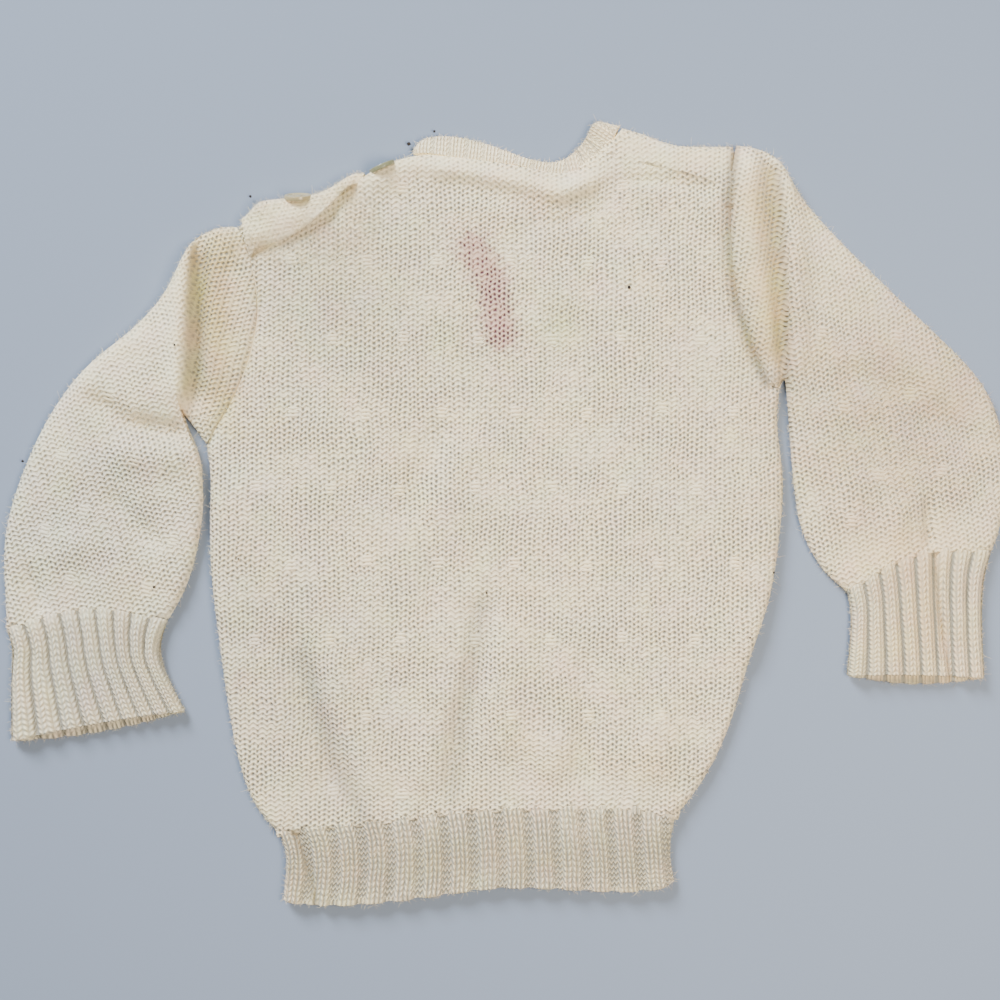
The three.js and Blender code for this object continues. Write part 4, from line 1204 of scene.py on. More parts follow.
class SWEATER_OT_hem(bpy.types.Operator):
    """The ribbing along the lower edge, upper and lower layer"""

    bl_idname = "sweater.hem"
    bl_label = "Hem ribbing"

    def execute(self, context):
        knit, colours = context.scene.sweater_knit, context.scene.sweater_colours
        lines = seam_lines()
        for node, name, levels in (("back_hem_rib", "back_hem_ribbing", 4),
                                   ("front_hem_rib", "front_hem_ribbing", 3)):
            piece = cloth_from(node, name, levels)
            shape_ribs(
                piece, knit.rib_depth, HEM, HEM_FOLDS, lambda plan: body_relief(plan, lines)
            )
            close_seams(piece, node, lines)
            finish_cloth(piece, node, rib_material(colours), rib_stitches(knit, HEM))
        return {"FINISHED"}


RIB_FACE = 0.7  # the part of a rib's height that is below the plain face of the cloth
RIB_START, RIB_EDGE = 0.14, 0.86  # ribs grow from the seam to here, and stand out from here
RIB_STAND = 0.8 * MM  # how far the ribs stand out at the free edge
SEAM_SHARE = 0.3  # the cloth above the seam is felt this far down the ribs


def shape_ribs(piece, depth, patch, folds, above_seam):
    """Raises the ribs on the outside of both layers, and lets them stand out at the edge.

    Towards the seam the ribs fade, and the cloth takes the relief of what is above the seam.
    """
    points, normals = points_of(piece), normals_of(piece)
    profile = patch.profile(points[:, :2]) - RIB_FACE
    down, _ = patch.shares(points[:, :2])
    above, below = outside_share(points, normals)
    points[:, 2] += above * profile * depth * smooth_step(0.0, RIB_START, down)
    points[:, 2] += below * np.maximum(0.3 - profile, 0) * 0.3 * depth
    points[:, 1] -= RIB_STAND * profile * smooth_step(RIB_EDGE, 1.0, down)
    relief = fold_relief(points[:, :2], folds)
    relief += above_seam(points[:, :2]) * (1 - smooth_step(0.0, SEAM_SHARE, down))
    points[:, 2] += upper_share(points) * relief
    set_points(piece, points)


LEFT_LEAN = math.radians(17)
RIGHT_LEAN = math.radians(9)
# Each sleeve: its folds, the lean of its stitches, the lower corner of the strip beside its
# armhole, and the side of the corner that the strip is on.
SLEEVES = {
    "left_sleeve": (LEFT_SLEEVE_FOLDS, LEFT_LEAN, (0.189, 0.622), 1),
    "right_sleeve": (RIGHT_SLEEVE_FOLDS, RIGHT_LEAN, (0.781, 0.655), -1),
}
# Each cuff: its ribs, its folds and the sleeve it is knitted on.
CUFFS = {
    "left_cuff": (LEFT_CUFF, LEFT_CUFF_FOLDS, "left_sleeve"),
    "right_cuff": (RIGHT_CUFF, RIGHT_CUFF_FOLDS, "right_sleeve"),
}
CUFF_DEPTH = 1.7  # the cuffs' ribs are this much deeper than the hem's


class SWEATER_OT_sleeves(bpy.types.Operator):
    """Both sleeves, turned down at the pleat beside each armhole"""

    bl_idname = "sweater.sleeves"
    bl_label = "Sleeves"

    def execute(self, context):
        knit, colours = context.scene.sweater_knit, context.scene.sweater_colours
        lines = seam_lines()
        for node, (_, lean, corner, side) in SLEEVES.items():
            piece = cloth_from(node, "knitted_" + node, 3)
            lift_upper_layer(piece, lambda plan: sleeve_relief(plan, lines, node))
            close_seams(piece, node, lines)
            stitches_at = sleeve_stitches(knit, lean, place(*corner), side)
            finish_cloth(piece, node, purl_material(colours), stitches_at)
        return {"FINISHED"}


class SWEATER_OT_cuffs(bpy.types.Operator):
    """Both ribbed cuffs, open at the hand"""

    bl_idname = "sweater.cuffs"
    bl_label = "Cuffs"

    def execute(self, context):
        knit, colours = context.scene.sweater_knit, context.scene.sweater_colours
        lines = seam_lines()
        for node, (patch, folds, sleeve) in CUFFS.items():
            piece = cloth_from(node, "ribbed_" + node, 3)
            shape_ribs(
                piece, knit.rib_depth * CUFF_DEPTH, patch, folds,
                lambda plan: sleeve_relief(plan, lines, sleeve),
            )
            close_seams(piece, node, lines)
            finish_cloth(piece, node, cuff_material(colours), rib_stitches(knit, patch))
        return {"FINISHED"}


# The neckband's lower edge across the back and up its right end, as shares.
NECK_LINE = [
    (0.395, 0.959), (0.430, 0.955), (0.455, 0.953), (0.488, 0.949), (0.516, 0.944),
    (0.540, 0.937), (0.562, 0.934), (0.582, 0.941), (0.598, 0.958), (0.609, 0.981),
    (0.615, 0.992),
]


class SWEATER_OT_neckband(bpy.types.Operator):
    """The narrow ribbed band round the neck"""

    bl_idname = "sweater.neckband"
    bl_label = "Neckband"

    def execute(self, context):
        knit, colours = context.scene.sweater_knit, context.scene.sweater_colours
        piece = cloth_from("neckband", "ribbed_neckband", 3)
        close_seams(piece, "neckband", seam_lines())
        stitches_at = band_stitches(knit, [place(*p) for p in NECK_LINE])
        finish_cloth(piece, "neckband", neck_material(colours), stitches_at)
        return {"FINISHED"}


# The buttonhole band's lower edge on the upper side, as shares.
BAND_EDGE = [
    (0.2470, 0.8342), (0.2718, 0.8437), (0.2987, 0.8593), (0.3239, 0.8860), (0.3422, 0.9105),
    (0.3583, 0.9250),
]


BAND_LEAN = math.radians(-20)
BAND_PUFF = 1.7 * MM  # how high the band puffs up
BAND_DIP, BAND_DIP_REACH = 2.5 * MM, 5.0 * MM  # how deep it dips at its lower edge, how far
# The band's outer and inner ends: their reach, how far they are drawn towards the hem, both
# in metres, and how far they go down in millimetres.
OUTER_END = (13 * MM, 4.5 * MM, 1.2)
INNER_END = (10 * MM, 3.2 * MM, 1.5)


def shape_band(piece):
    """Puffs the band over the shoulder, and rounds its two ends down into the cloth."""
    low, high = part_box("buttonhole_band")
    points = points_of(piece)
    outer = 1 - smooth_step(low.x, low.x + OUTER_END[0], points[:, 0])
    points[:, 1] -= OUTER_END[1] * outer**2
    upper = upper_share(points)
    puff = np.sin(math.pi * np.clip((points[:, 0] - low.x) / (high.x - low.x), 0, 1)) ** 0.5
    edge = through(BAND_EDGE, np.linspace(0, 1, 40))
    near = line_distance(points[:, :2], edge) / BAND_DIP_REACH
    left = 1 - 0.6 * smooth_step(low.x + 22 * MM, low.x + 40 * MM, points[:, 0])
    points[:, 2] += upper * (BAND_PUFF * puff - BAND_DIP * left * np.exp(-(near**2)))
    inner = smooth_step(high.x - INNER_END[0], high.x, points[:, 0])
    points[:, 1] -= INNER_END[1] * inner**2
    points[:, 2] -= upper * MM * (OUTER_END[2] * outer + INNER_END[2] * inner)
    set_points(piece, points)


class SWEATER_OT_band(bpy.types.Operator):
    """The buttonhole band that wraps over the left shoulder"""

    bl_idname = "sweater.band"
    bl_label = "Buttonhole band"

    def execute(self, context):
        knit, colours = context.scene.sweater_knit, context.scene.sweater_colours
        piece = cloth_from("buttonhole_band", "knitted_buttonhole_band", 3)
        shape_band(piece)
        lift_upper_layer(piece, lambda plan: wander(plan, *UNEVEN["buttonhole_band"]))
        stitches_at = plain_stitches(knit, BAND_LEAN)
        finish_cloth(piece, "buttonhole_band", soft_material(colours), stitches_at)
        return {"FINISHED"}


# ------------------------------------------------------------------ yarn, lint and fuzz


def ring_mesh(name, rings):
    """Many closed forms as one mesh: n forms of m rings of corners."""
    n, m, sides, _ = rings.shape
    index = np.arange(n * m * sides).reshape(n, m, sides)
    a, b = index[:, :-1], index[:, 1:]
    walls = np.stack([a, np.roll(a, -1, 2), np.roll(b, -1, 2), b], axis=-1).reshape(-1, 4)
    first, last = index[:, 0, ::-1], index[:, -1]
    mesh = bpy.data.meshes.new(name)
    mesh.from_pydata(
        rings.reshape(-1, 3).tolist(), [], walls.tolist() + first.tolist() + last.tolist()
    )
    mesh.shade_smooth()
    piece = bpy.data.objects.new(name, mesh)
    bpy.context.collection.objects.link(piece)
    return piece


def tubes(name, paths, radii, sides):
    """Many closed tubes as one mesh, n x m x 3 paths and n x m radii."""
    along = np.gradient(paths, axis=1)
    along /= np.maximum(np.linalg.norm(along, axis=2, keepdims=True), 1e-12)
    up = np.zeros_like(along)
    up[..., 2] = 1.0
    up[np.abs(along[..., 2]) > 0.9] = (1.0, 0.0, 0.0)
    side = np.cross(along, up)
    side /= np.linalg.norm(side, axis=2, keepdims=True)
    other = np.cross(side, along)
    turn = 2 * math.pi * np.arange(sides) / sides
    ring = (
        side[:, :, None] * np.cos(turn)[None, None, :, None]
        + other[:, :, None] * np.sin(turn)[None, None, :, None]
    )
    return ring_mesh(name, paths[:, :, None] + ring * radii[:, :, None, None])


def drop_onto(pieces, across, up):
    """The highest point of the pieces under a plan point, or None."""
    best = None
    for piece in pieces:
        found, point, _, _ = piece.ray_cast(Vector((across, up, 0.1)), Vector((0, 0, -1)))
        if found and (best is None or point.z > best.z):
            best = point
    return best


def evenly(plan, step):
    """Points of a plan line, one step apart."""
    along = np.append(0, np.cumsum(np.linalg.norm(np.diff(plan, axis=0), axis=1)))
    at = np.linspace(0, along[-1], max(int(along[-1] / step), 4))
    return np.column_stack([np.interp(at, along, plan[:, 0]), np.interp(at, along, plan[:, 1])])


def beside(cloth, plan, offsets):
    """Points on the cloth at those offsets across a line: rows along it, columns across."""
    run = np.gradient(plan, axis=0)
    run /= np.linalg.norm(run, axis=1, keepdims=True)
    across = np.column_stack([-run[:, 1], run[:, 0]])
    flat = plan[:, None] + np.array(offsets)[None, :, None] * across[:, None]
    heights = np.full(flat.shape[:2], np.nan)
    for i, j in np.ndindex(*heights.shape):
        hit = drop_onto(cloth, *flat[i, j])
        if hit is not None and hit.z > CLOTH_TOP / 2:
            heights[i, j] = hit.z
    rows = np.arange(len(plan))
    for column in heights.T:
        known = ~np.isnan(column)
        if not known.any():
            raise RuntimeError("a seam has no cloth beside it")
        column[~known] = np.interp(rows[~known], rows[known], column[known])
        padded = np.pad(column, 2, mode="edge")
        column[:] = np.convolve(padded, np.full(5, 0.2), mode="valid")
    return np.dstack([flat, heights])


YARN_STEP = 2.5 * MM  # from one point of a seam's yarn to the next
YARN_SIDE = 1.3 * MM  # the height of the cloth is taken this far to each side
STRIP_STEP = 1.5 * MM  # from one ring of a strip to the next


def seam_path(cloth, line, radius):
    """The path of the yarn in a seam, just under the cloth on its lower side."""
    plan = evenly(line[:, :2], YARN_STEP)
    sides = beside(cloth, plan, (-YARN_SIDE, YARN_SIDE))[..., 2]
    return np.column_stack([plan, sides.min(axis=1) - 1.2 * radius])


STRIP_CROWN = 0.32  # a strip's middle over its sides, in millimetres
STRIP_SINK = 0.22  # its sides under the face of the cloth, in millimetres
STRIP_THICKNESS = 0.8 * MM


def strip_rings(cloth, plan, half_width):
    """Rings of a thin strip that lies on the cloth along a line and bridges its seam."""
    shares = np.linspace(-1, 1, 9)
    top = beside(cloth, plan, shares * half_width)
    bridge = top[:, :1, 2] + (top[:, -1:, 2] - top[:, :1, 2]) * (shares + 1) / 2
    from_end = np.minimum(np.arange(len(plan)), np.arange(len(plan))[::-1])[:, None]
    lift = STRIP_CROWN * (1 - shares**4) * np.clip(from_end / 4, 0, 1) - STRIP_SINK
    top[..., 2] = np.maximum(top[..., 2], bridge) + lift * MM
    under = top[:, ::-1].copy()
    under[..., 2] -= STRIP_THICKNESS
    return np.concatenate([top, under], axis=1)


def turn_outward(piece):
    """Makes the faces of a closed piece face out."""
    make_active(piece)
    bpy.ops.object.mode_set(mode="EDIT")
    bpy.ops.mesh.select_all(action="SELECT")
    bpy.ops.mesh.normals_make_consistent(inside=False)
    bpy.ops.object.mode_set(mode="OBJECT")


# The pieces that seams run over.
CLOTH_PIECES = {
    "knitted_back", "knitted_front", "back_hem_ribbing", "knitted_left_sleeve",
    "knitted_right_sleeve", "ribbed_left_cuff", "ribbed_right_cuff", "ribbed_neckband",
}
# Rows that run on over a seam: name, the seam they follow or their own line as shares of the
# garment, half the width in millimetres and the lean of the stitches.
KNITTED_ON = [
    ("shoulder", None, [(0.5850, 0.9440), (0.6130, 0.9500), (0.6350, 0.9455), (0.6750, 0.9360),
                        (0.7100, 0.9265), (0.7300, 0.9190)], 5.0, 0.0),
    ("neck_corner", None, [(0.5750, 0.9400), (0.5834, 0.9436), (0.5950, 0.9505)], 2.2, 0.0),
    ("neck_end", None, [(0.5970, 0.9585), (0.6022, 0.9670), (0.6060, 0.9760)], 2.0, 0.0),
    ("armhole_corner", None, [(0.7225, 0.9270), (0.7232, 0.9090), (0.7236, 0.8900)], 2.6, 0.0),
    ("right_armhole", "right_armhole", None, 2.0, 0.0),
    ("hem", "hem", None, 2.0, 0.0),
    ("left_cuff", "left_cuff", None, 1.8, LEFT_LEAN),
    ("right_cuff", "right_cuff", None, 1.8, RIGHT_LEAN),
]


class SWEATER_OT_seams(bpy.types.Operator):
    """The yarn in the sewn seams, and the rows that run on over the knitted ones"""

    bl_idname = "sweater.seams"
    bl_label = "Seams"

    def execute(self, context):
        knit, colours = context.scene.sweater_knit, context.scene.sweater_colours
        context.view_layer.update()
        cloth = [o for o in bpy.data.objects if o.name in CLOTH_PIECES]
        lines = seam_lines()
        radius = 1.1 * knit.strand
        paths = {name: seam_path(cloth, line, radius) for name, line in lines.items()}
        strips = []
        for name, seam, corners, half_width, lean in KNITTED_ON:
            plan = through(corners, np.linspace(0, 1, 60)) if corners else lines[seam][:, :2]
            rings = strip_rings(cloth, evenly(plan, STRIP_STEP), half_width * MM)
            strips.append((name, rings, lean))
        for name, path in paths.items():
            ends = 0.3 + 0.7 * np.sin(math.pi * np.linspace(0, 1, len(path))) ** 0.3
            seam = tubes(f"seam_{name}", path[None], radius * ends[None], 10)
            write_tints(seam)
            finish_piece(seam, yarn_material(colours))
        for name, rings, lean in strips:
            strip = ring_mesh(f"rows_{name}", rings[None])
            turn_outward(strip)
            write_stitches(strip, plain_stitches(knit, lean))
            write_tints(strip)
            finish_piece(strip, purl_material(colours))
        return {"FINISHED"}


# The bars of three short strands: the first of the lattice and its steps, as shares.
BAR_FIRST = (0.4727, 0.9164)
BAR_STEP = (0.0730, 0.0961)
BAR_ROW = 1.75 * MM  # from one strand of a bar to the next
BAR_CLEAR = 9 * MM  # a bar has cloth all round it to this distance,
BAR_LEVEL = 3.0 * MM  # and the heights of that cloth differ by less than this
BAR_ARCH, BAR_SINK = 0.34, 0.93  # rise of a strand's middle and depth of its ends, millimetres
BAR_SCATTER = 0.8 * MM
# The bars on the sleeves: where each one is, as shares of the garment, and how they lean.
BARS_ON_SLEEVES = {
    "knitted_left_sleeve": (
        [(0.0617, 0.5744), (0.1347, 0.5667), (0.1227, 0.4796), (0.1717, 0.4655),
         (0.0827, 0.5039), (0.1080, 0.6500), (0.0450, 0.4800), (0.0700, 0.4200),
         (0.1450, 0.4050)],
        math.radians(-17),
    ),
    "knitted_right_sleeve": (
        [(0.8367, 0.6358), (0.9037, 0.6538), (0.8717, 0.5488), (0.9347, 0.5552),
         (0.8150, 0.7300), (0.8900, 0.7250), (0.8450, 0.4900), (0.9150, 0.4800)],
        math.radians(-7),
    ),
}


def bar_places():
    """Where each bar lies: the piece, its plan point and its turn."""
    rng = np.random.default_rng(11)
    low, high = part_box("back")
    for row in range(-1, 9):
        for column in range(-4, 5):
            across = BAR_FIRST[0] + (column - 0.5 * (row % 2)) * BAR_STEP[0]
            up = BAR_FIRST[1] - row * BAR_STEP[1]
            point = place(across, up) + rng.normal(0, BAR_SCATTER, 2)
            if low.x < point[0] < high.x and low.y < point[1] < high.y:
                yield "knitted_back", point, rng.normal(0, 0.03)
    for piece, (spots, lean) in BARS_ON_SLEEVES.items():
        for spot in spots:
            yield piece, place(*spot), lean + rng.normal(0, 0.04)


def flat_round(pieces, point, reach):
    """Whether the surface runs on all round a plan point, with no edge or step near."""
    heights = []
    for turn in np.linspace(0, 2 * math.pi, 8, endpoint=False):
        plan = (point[0] + reach * math.cos(turn), point[1] + reach * math.sin(turn))
        hit = drop_onto(pieces, *plan)
        if hit is None:
            return False
        heights.append(hit.z)
    return max(heights) - min(heights) < BAR_LEVEL


class SWEATER_OT_bars(bpy.types.Operator):
    """Small bars of three strands that lie across the knitting in a lattice"""

    bl_idname = "sweater.bars"
    bl_label = "Bars"

    def execute(self, context):
        knit, colours = context.scene.sweater_knit, context.scene.sweater_colours
        context.view_layer.update()
        paths = []
        shares = np.linspace(0, 1, 9)
        for name, point, lean in bar_places():
            cloth = [bpy.data.objects[name]]
            if not flat_round(cloth, point, BAR_CLEAR):
                continue
            across = np.array([math.cos(lean), math.sin(lean)])
            up = np.array([-across[1], across[0]])
            for row in (-1, 0, 1):
                path = []
                for share in shares:
                    plan = point + across * (share - 0.5) * knit.bar_length + up * row * BAR_ROW
                    hit = drop_onto(cloth, *plan)
                    rise = (BAR_ARCH * math.sin(math.pi * share) ** 0.6 - BAR_SINK) * MM
                    path.append((*plan, hit.z + rise))
                paths.append(path)
        paths = np.array(paths)
        radii = np.full(paths.shape[:2], 0.84 * knit.strand)
        radii *= 0.55 + 0.45 * np.sin(math.pi * shares) ** 0.5
        bars = tubes("yarn_bars", paths, radii, 8)
        write_tints(bars)
        finish_piece(bars, yarn_material(colours))
        return {"FINISHED"}


# Specks of lint: where, as shares of the garment, and half their size in millimetres.
LINT = [
    ((0.6237, 0.787), 0.75), ((0.1527, 0.4065), 0.55), ((0.0197, 0.5667), 0.6),
    ((0.2367, 0.4425), 0.45), ((0.1757, 0.7127), 0.5), ((0.4827, 0.3990), 0.45),
    ((0.7677, 0.4245), 0.55), ((0.7437, 0.3425), 0.45), ((0.4050, 0.9720), 0.9),
    ((0.4305, 0.9880), 0.6), ((0.2470, 0.9050), 0.6),
]
# The hair: its ends and, between them, the corner that bows it.
HAIR = [(0.6797, 0.1684), (0.6937, 0.1594), (0.7057, 0.1799)]
HAIR_RADIUS = 0.07 * MM
FUZZ_HEIGHT = 1.5 * MM  # specks beside the cloth hang in its fuzz, this high


class SWEATER_OT_lint(bpy.types.Operator):
    """Specks of lint and one hair that cling to the wool"""

    bl_idname = "sweater.lint"
    bl_label = "Lint"

    def execute(self, context):
        cloth = [o for o in bpy.data.objects if o.name.startswith(("knitted", "ribbed"))]
        context.view_layer.update()
        rng = np.random.default_rng(5)
        specks = []
        for spot, size in LINT:
            x, y = place(*spot)
            hit = drop_onto(cloth, x, y)
            z = hit.z if hit else FUZZ_HEIGHT
            deselect_all()
            bpy.ops.mesh.primitive_ico_sphere_add(subdivisions=2, radius=size * MM)
            speck = context.object
            for vertex in speck.data.vertices:
                vertex.co *= 1 + rng.uniform(-0.25, 0.25)
                vertex.co.z *= 0.6
                vertex.co += Vector((x, y, z + 0.2 * size * MM))
            specks.append(speck)
        deselect_all()
        for speck in specks:
            speck.select_set(True)
        context.view_layer.objects.active = specks[0]
        bpy.ops.object.join()
        specks = context.object
        specks.name = "lint_specks"
        bpy.ops.object.shade_smooth()
        finish_piece(specks, plain_material("Lint", (0.030, 0.022, 0.018), 0.9))

        first, bow, last = (place(*corner) for corner in HAIR)
        shares = np.linspace(0, 1, 24)[:, None]
        plan = (1 - shares) ** 2 * first + 2 * shares * (1 - shares) * bow
        plan += shares**2 * last
        path = []
        for x, y in plan:
            hit = drop_onto(cloth, x, y)
            path.append((x, y, (hit.z if hit else 0.0) + 0.15 * MM))
        hair = tubes("hair", np.array([path]), np.full((1, len(path)), HAIR_RADIUS), 6)
        finish_piece(hair, plain_material("Hair", (0.10, 0.06, 0.04), 0.5))
        return {"FINISHED"}


# Fibres: one of how many in the settings, then shortest, longest and thickness in millimetres.
FUZZ = {
    "outline_fuzz": (1, 0.5, 2.6, 0.08),
    "loose_fibres": (4, 1.0, 3.0, 0.05),
    "shoulder_fuzz": (2, 0.6, 2.4, 0.05),
}
FUZZ_CELL = 2.0 * MM  # fibres are spread evenly over squares of this size
FUZZ_MARGIN = 20  # empty squares round the garment
FUZZ_CLEAR = 3.2 * MM  # there is no cloth this far out from the outline
FELTED_SHOULDER = (0.290, 0.875)  # the middle of the felted left shoulder, as shares
FELTED_SIZE = (0.040, 0.022)  # its half width and half height in metres


def fuzz_places(points, normals):
    """Which points each kind of fuzz grows on, and the column and row of every point."""
    column, row = np.round((points[:, :2] - LOW[:2]) / FUZZ_CELL).astype(int).T + FUZZ_MARGIN
    filled = np.zeros((column.max() + 2 * FUZZ_MARGIN, row.max() + 2 * FUZZ_MARGIN), int)
    np.add.at(filled, (column, row), 1)
    outward = normals[:, :2] / np.maximum(np.linalg.norm(normals[:, :2], axis=1), 1e-9)[:, None]
    beyond = points[:, :2] + FUZZ_CLEAR * outward
    beyond = np.round((beyond - LOW[:2]) / FUZZ_CELL).astype(int) + FUZZ_MARGIN
    rim = (np.abs(normals[:, 2]) < 0.85) & (points[:, 2] > 0.5 * MM)
    rim &= filled[beyond[:, 0], beyond[:, 1]] == 0
    top = (normals[:, 2] > 0.8) & (points[:, 2] > 0.6 * CLOTH_TOP)
    off = (points[:, :2] - place(*FELTED_SHOULDER)) / FELTED_SIZE
    felted = np.linalg.norm(off, axis=1) < 1
    felted &= (normals[:, 2] > 0.2) & (points[:, 2] > CLOTH_TOP)
    grows_on = {"outline_fuzz": rim, "loose_fibres": top, "shoulder_fuzz": felted}
    return grows_on, column, row, filled.shape


def fibre_paths(root, way, length, rng):
    """A bent path of three points for each fibre, from its root and the way it stands."""
    side = rng.normal(size=root.shape)
    side -= (side * way).sum(axis=1, keepdims=True) * way
    side /= np.linalg.norm(side, axis=1, keepdims=True)
    bend = rng.normal(size=root.shape) * 0.6
    steps = []
    for share in np.linspace(0, 1, 3):
        point = root - 0.3 * MM * way + length * share * (
            way * (0.8 - 0.5 * share) + side * 0.6 + bend * share**2
        )
        point[:, 2] = np.maximum(point[:, 2], 0.1 * MM)
        steps.append(point)
    return np.stack(steps, axis=1)


class SWEATER_OT_fuzz(bpy.types.Operator):
    """Loose fibres that stand out of the wool, most of them at its outline"""

    bl_idname = "sweater.fuzz"
    bl_label = "Fuzz"

    def execute(self, context):
        knit, colours = context.scene.sweater_knit, context.scene.sweater_colours
        rng = np.random.default_rng(3)
        points, normals = [], []
        for piece in bpy.data.objects:
            if piece.name.startswith(("knitted", "ribbed", "back_hem", "front_hem")):
                points.append(points_of(piece))
                normals.append(normals_of(piece))
        points, normals = np.vstack(points), np.vstack(normals)
        grows_on, column, row, cells = fuzz_places(points, normals)
        for name, (divisor, shortest, longest, thick) in FUZZ.items():
            where, count = grows_on[name], knit.fibres // divisor
            crowd = np.zeros(cells, int)
            np.add.at(crowd, (column[where], row[where]), 1)
            odds = where / np.maximum(crowd[column, row], 1)
            chosen = rng.choice(len(points), count, p=odds / odds.sum())
            length = (shortest + (longest - shortest) * rng.beta(1.2, 2.2, count))[:, None] * MM
            paths = fibre_paths(points[chosen], normals[chosen], length, rng)
            radii = np.full(paths.shape[:2], thick * MM) * np.linspace(1, 0.5, 3)
            fuzz = tubes(name, paths, radii, 3)
            write_tints(fuzz)
            finish_piece(fuzz, yarn_material(colours))
        return {"FINISHED"}


# ------------------------------------------------------------------ buttons

BUTTON_RADIUS = 6.2 * MM
BUTTON_THICKNESS = 2.0 * MM
BUTTON_RIM = 1.3 * MM
BUTTON_BEVEL = 0.35 * MM
BUTTON_DISH = (0.6 * MM, 0.5 * MM)  # width of the slope inside the rim, and its depth
BUTTON_HOLE = (0.8 * MM, 1.5 * MM)  # radius of a thread hole, and how far it is off the middle
SHADED_GREY_GREEN = (0.9, 1.1, 1.15)  # painted shade: the tint of the second button, which stands in shade
# Each button: its lean and turn in degrees and its offset from its solid in millimetres.
BUTTONS = {1: (20, 0, (0, -2.8, -1.2)), 2: (8, 24, (0.8, -4.0, -1.2))}


class SWEATER_OT_buttons(bpy.types.Operator):
    """The two-hole buttons that stand on edge behind the left shoulder"""

    bl_idname = "sweater.buttons"
    bl_label = "Buttons"

    def execute(self, context):
        colours = context.scene.sweater_colours
        first = turned_button("sewn_button_1")
        second = first.copy()
        second.data = first.data.copy()
        second.name = "sewn_button_2"
        context.collection.objects.link(second)
        # Painted shade: the second button takes the first one's colour, darkened and turned
        # grey-green.
        shaded_grey_green = tuple(0.62 * c * share for c, share in zip(colours.button, SHADED_GREY_GREEN))
        for number, button, colour in ((1, first, colours.button), (2, second, shaded_grey_green)):
            lean, turn, drop = BUTTONS[number]
            low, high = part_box(f"button_{number}")
            button.data.transform(
                Matrix.Rotation(math.radians(turn), 4, "Z")
                @ Matrix.Rotation(math.radians(lean), 4, "X")
            )
            corners = points_of(button)
            centre = Vector((corners.min(axis=0) + corners.max(axis=0)) / 2)
            middle = (low + high) / 2 + Vector(drop) * MM
            button.data.transform(Matrix.Translation(middle - centre))
            finish_piece(
                button, button_material(f"Button {number}", colour),
                nodes=[f"button_{number}"],
            )
        return {"FINISHED"}


def turned_button(name):
    """A button at the origin whose axis lies along Y: a rim, a dished face and two holes."""
    deselect_all()
    bpy.ops.mesh.primitive_cylinder_add(
        vertices=64, radius=BUTTON_RADIUS, depth=BUTTON_THICKNESS, rotation=(math.pi / 2, 0, 0)
    )
    button = bpy.context.object
    button.name = name
    bpy.ops.object.transform_apply(rotation=True)
    bpy.ops.object.mode_set(mode="EDIT")
    bpy.ops.mesh.select_mode(type="FACE")
    bpy.ops.mesh.select_all(action="DESELECT")
    bpy.ops.object.mode_set(mode="OBJECT")
    for face in button.data.polygons:
        face.select = face.normal.y > 0.9
    bpy.ops.object.mode_set(mode="EDIT")
    bpy.ops.mesh.inset(thickness=BUTTON_RIM)
    bpy.ops.mesh.inset(thickness=BUTTON_DISH[0])
    bpy.ops.transform.translate(value=(0, -BUTTON_DISH[1], 0))
    bpy.ops.object.mode_set(mode="OBJECT")
    apply_modifier(button, "BEVEL", width=BUTTON_BEVEL, segments=3, limit_method="ANGLE")
    for side in (-1, 1):
        deselect_all()
        bpy.ops.mesh.primitive_cylinder_add(
            vertices=24, radius=BUTTON_HOLE[0], depth=4 * BUTTON_THICKNESS,
            rotation=(math.pi / 2, 0, 0), location=(side * BUTTON_HOLE[1], 0, 0),
        )
        drill = bpy.context.object
        apply_modifier(button, "BOOLEAN", object=drill, operation="DIFFERENCE")
        bpy.data.objects.remove(drill, do_unlink=True)
    make_active(button)
    bpy.ops.object.shade_smooth_by_angle(angle=math.radians(35))
    return button


def button_material(name, colour):
    """Glossy plastic like horn, a little clear, with soft streaks."""
    material = bpy.data.materials.new(name)
    material.use_nodes = True
    material.node_tree.nodes.clear()
    n = Nodes(material.node_tree)
    where = n.add("ShaderNodeTexCoord").outputs["Object"]
    streaks = n.add(
        "ShaderNodeTexNoise", {"Vector": where, "Scale": 180.0, "Detail": 3.0, "Distortion": 1.5}
    )
    pale = tuple(min(1.0, 1.35 * c) for c in colour)
    mixed = n.mix(streaks.outputs["Fac"], (*colour, 1), (*pale, 1))
    surface = n.add(
        "ShaderNodeBsdfPrincipled",
        {"Base Color": mixed, "Roughness": 0.28, "Subsurface Weight": 0.15,
         "Subsurface Radius": (0.003, 0.002, 0.001), "Subsurface Scale": 0.5,
         "Coat Weight": 0.3},
    )
    n.add("ShaderNodeOutputMaterial", {"Surface": surface.outputs[0]})
    return material


# ------------------------------------------------------------------ the stage


VIEW_WIDTH = 1.0  # the view is this many times as wide as the garment
VIEW_CENTRE = (0.496, 0.517)  # where the camera looks, as shares of the garment
TABLE_GAP = 0.0002  # the table is this far under the sweater, in metres


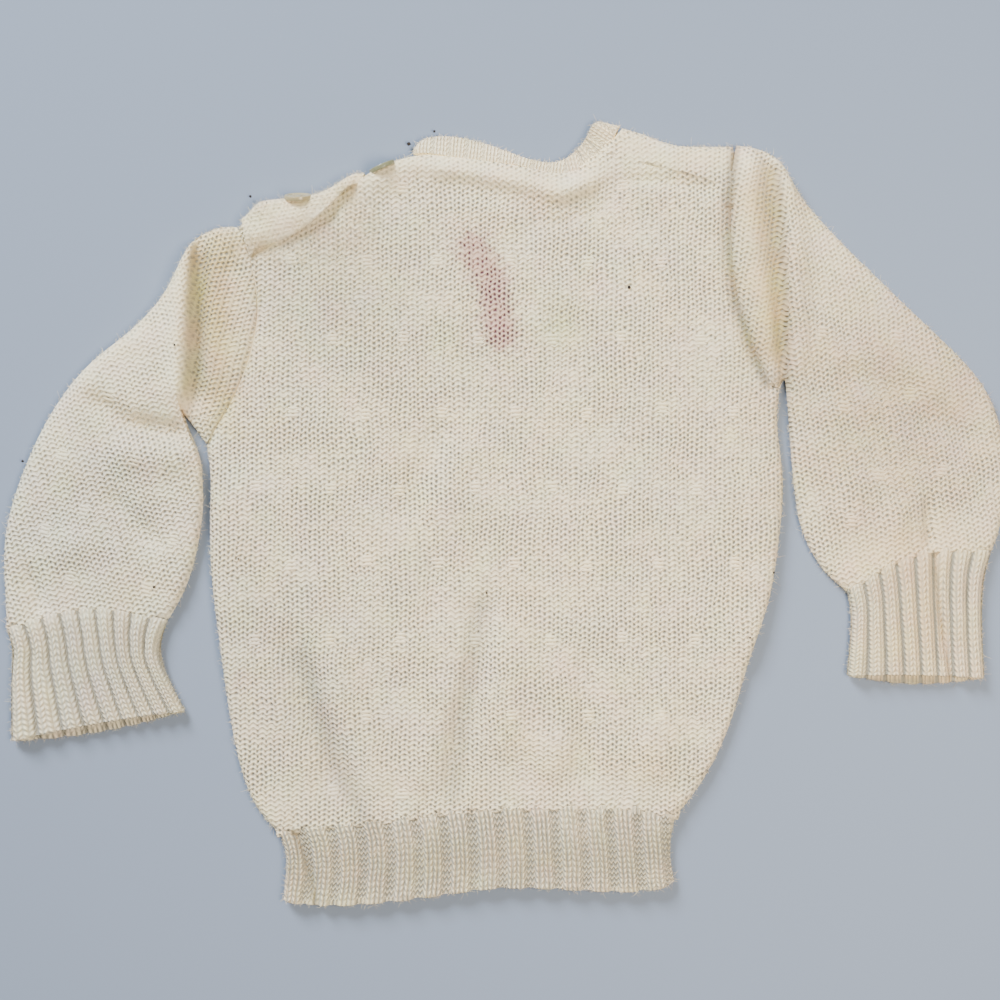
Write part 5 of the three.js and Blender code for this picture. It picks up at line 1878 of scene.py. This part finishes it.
class SWEATER_OT_stage(bpy.types.Operator):
    """The table, the lights and the camera straight above"""

    bl_idname = "sweater.stage"
    bl_label = "Stage"

    def execute(self, context):
        stage, colours = context.scene.sweater_stage, context.scene.sweater_colours
        deselect_all()
        bpy.ops.mesh.primitive_plane_add(size=6.0, location=(0, 0, -TABLE_GAP))
        floor = context.object
        floor.name = "floor"
        material = bpy.data.materials.new("Table")
        material.use_nodes = True
        surface = material.node_tree.nodes["Principled BSDF"]
        surface.inputs["Base Color"].default_value = (*colours.floor, 1)
        surface.inputs["Roughness"].default_value = 0.7
        surface.inputs["Specular IOR Level"].default_value = 0.2
        floor.data.materials.append(material)

        world = bpy.data.worlds.new("soft sky")
        world.use_nodes = True
        sky = world.node_tree.nodes["Background"]
        sky.inputs["Color"].default_value = (1.0, 1.0, 1.0, 1)
        sky.inputs["Strength"].default_value = stage.sky
        context.scene.world = world

        centre = Vector(((LOW[0] + HIGH[0]) / 2, (LOW[1] + HIGH[1]) / 2, 0))
        for name, power, spot, size, colour in (
            ("lamp", stage.key_power, (0.35, -0.12, 0.75), 0.4, (1.0, 0.87, 0.69)),
            ("window_light", stage.fill_power, (-1.20, 1.80, 1.20), 0.9, (0.90, 0.95, 1.0)),
        ):
            light = bpy.data.lights.new(name, "AREA")
            light.energy = power
            light.size = size
            light.color = colour
            lamp = bpy.data.objects.new(name, light)
            lamp.location = centre + Vector(spot)
            lamp.rotation_euler = (centre - lamp.location).to_track_quat("-Z", "Y").to_euler()
            context.collection.objects.link(lamp)

        camera = bpy.data.cameras.new("overhead_camera")
        camera.sensor_width = 36.0
        camera.lens = camera.sensor_width * stage.camera_height / (SPAN[0] * VIEW_WIDTH)
        eye = bpy.data.objects.new("overhead_camera", camera)
        aim = place(*VIEW_CENTRE)
        eye.location = (aim[0], aim[1], stage.camera_height)
        context.collection.objects.link(eye)
        context.scene.camera = eye
        return {"FINISHED"}


OPERATORS = [
    SWEATER_OT_stage, SWEATER_OT_body, SWEATER_OT_hem, SWEATER_OT_sleeves, SWEATER_OT_cuffs,
    SWEATER_OT_neckband, SWEATER_OT_band, SWEATER_OT_buttons, SWEATER_OT_seams,
    SWEATER_OT_bars, SWEATER_OT_lint, SWEATER_OT_fuzz,
]


class SWEATER_PT_panel(bpy.types.Panel):
    """The sweater's pieces"""

    bl_label = "Wool sweater"
    bl_idname = "SWEATER_PT_panel"
    bl_space_type = "VIEW_3D"
    bl_region_type = "UI"
    bl_category = "Sweater"

    def draw(self, context):
        for operator in OPERATORS:
            self.layout.operator(operator.bl_idname)


SETTINGS = [KnitSettings, ColourSettings, StageSettings]


def register():
    for cls in [*SETTINGS, *OPERATORS, SWEATER_PT_panel]:
        bpy.utils.register_class(cls)
    bpy.types.Scene.sweater_knit = PointerProperty(type=KnitSettings)
    bpy.types.Scene.sweater_colours = PointerProperty(type=ColourSettings)
    bpy.types.Scene.sweater_stage = PointerProperty(type=StageSettings)


def unregister():
    del bpy.types.Scene.sweater_knit
    del bpy.types.Scene.sweater_colours
    del bpy.types.Scene.sweater_stage
    for cls in reversed([*SETTINGS, *OPERATORS, SWEATER_PT_panel]):
        bpy.utils.unregister_class(cls)


def main():
    register()
    for operator in OPERATORS:
        group, name = operator.bl_idname.split(".")
        getattr(getattr(bpy.ops, group), name)()
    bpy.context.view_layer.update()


if __name__ == "__main__":
    main()
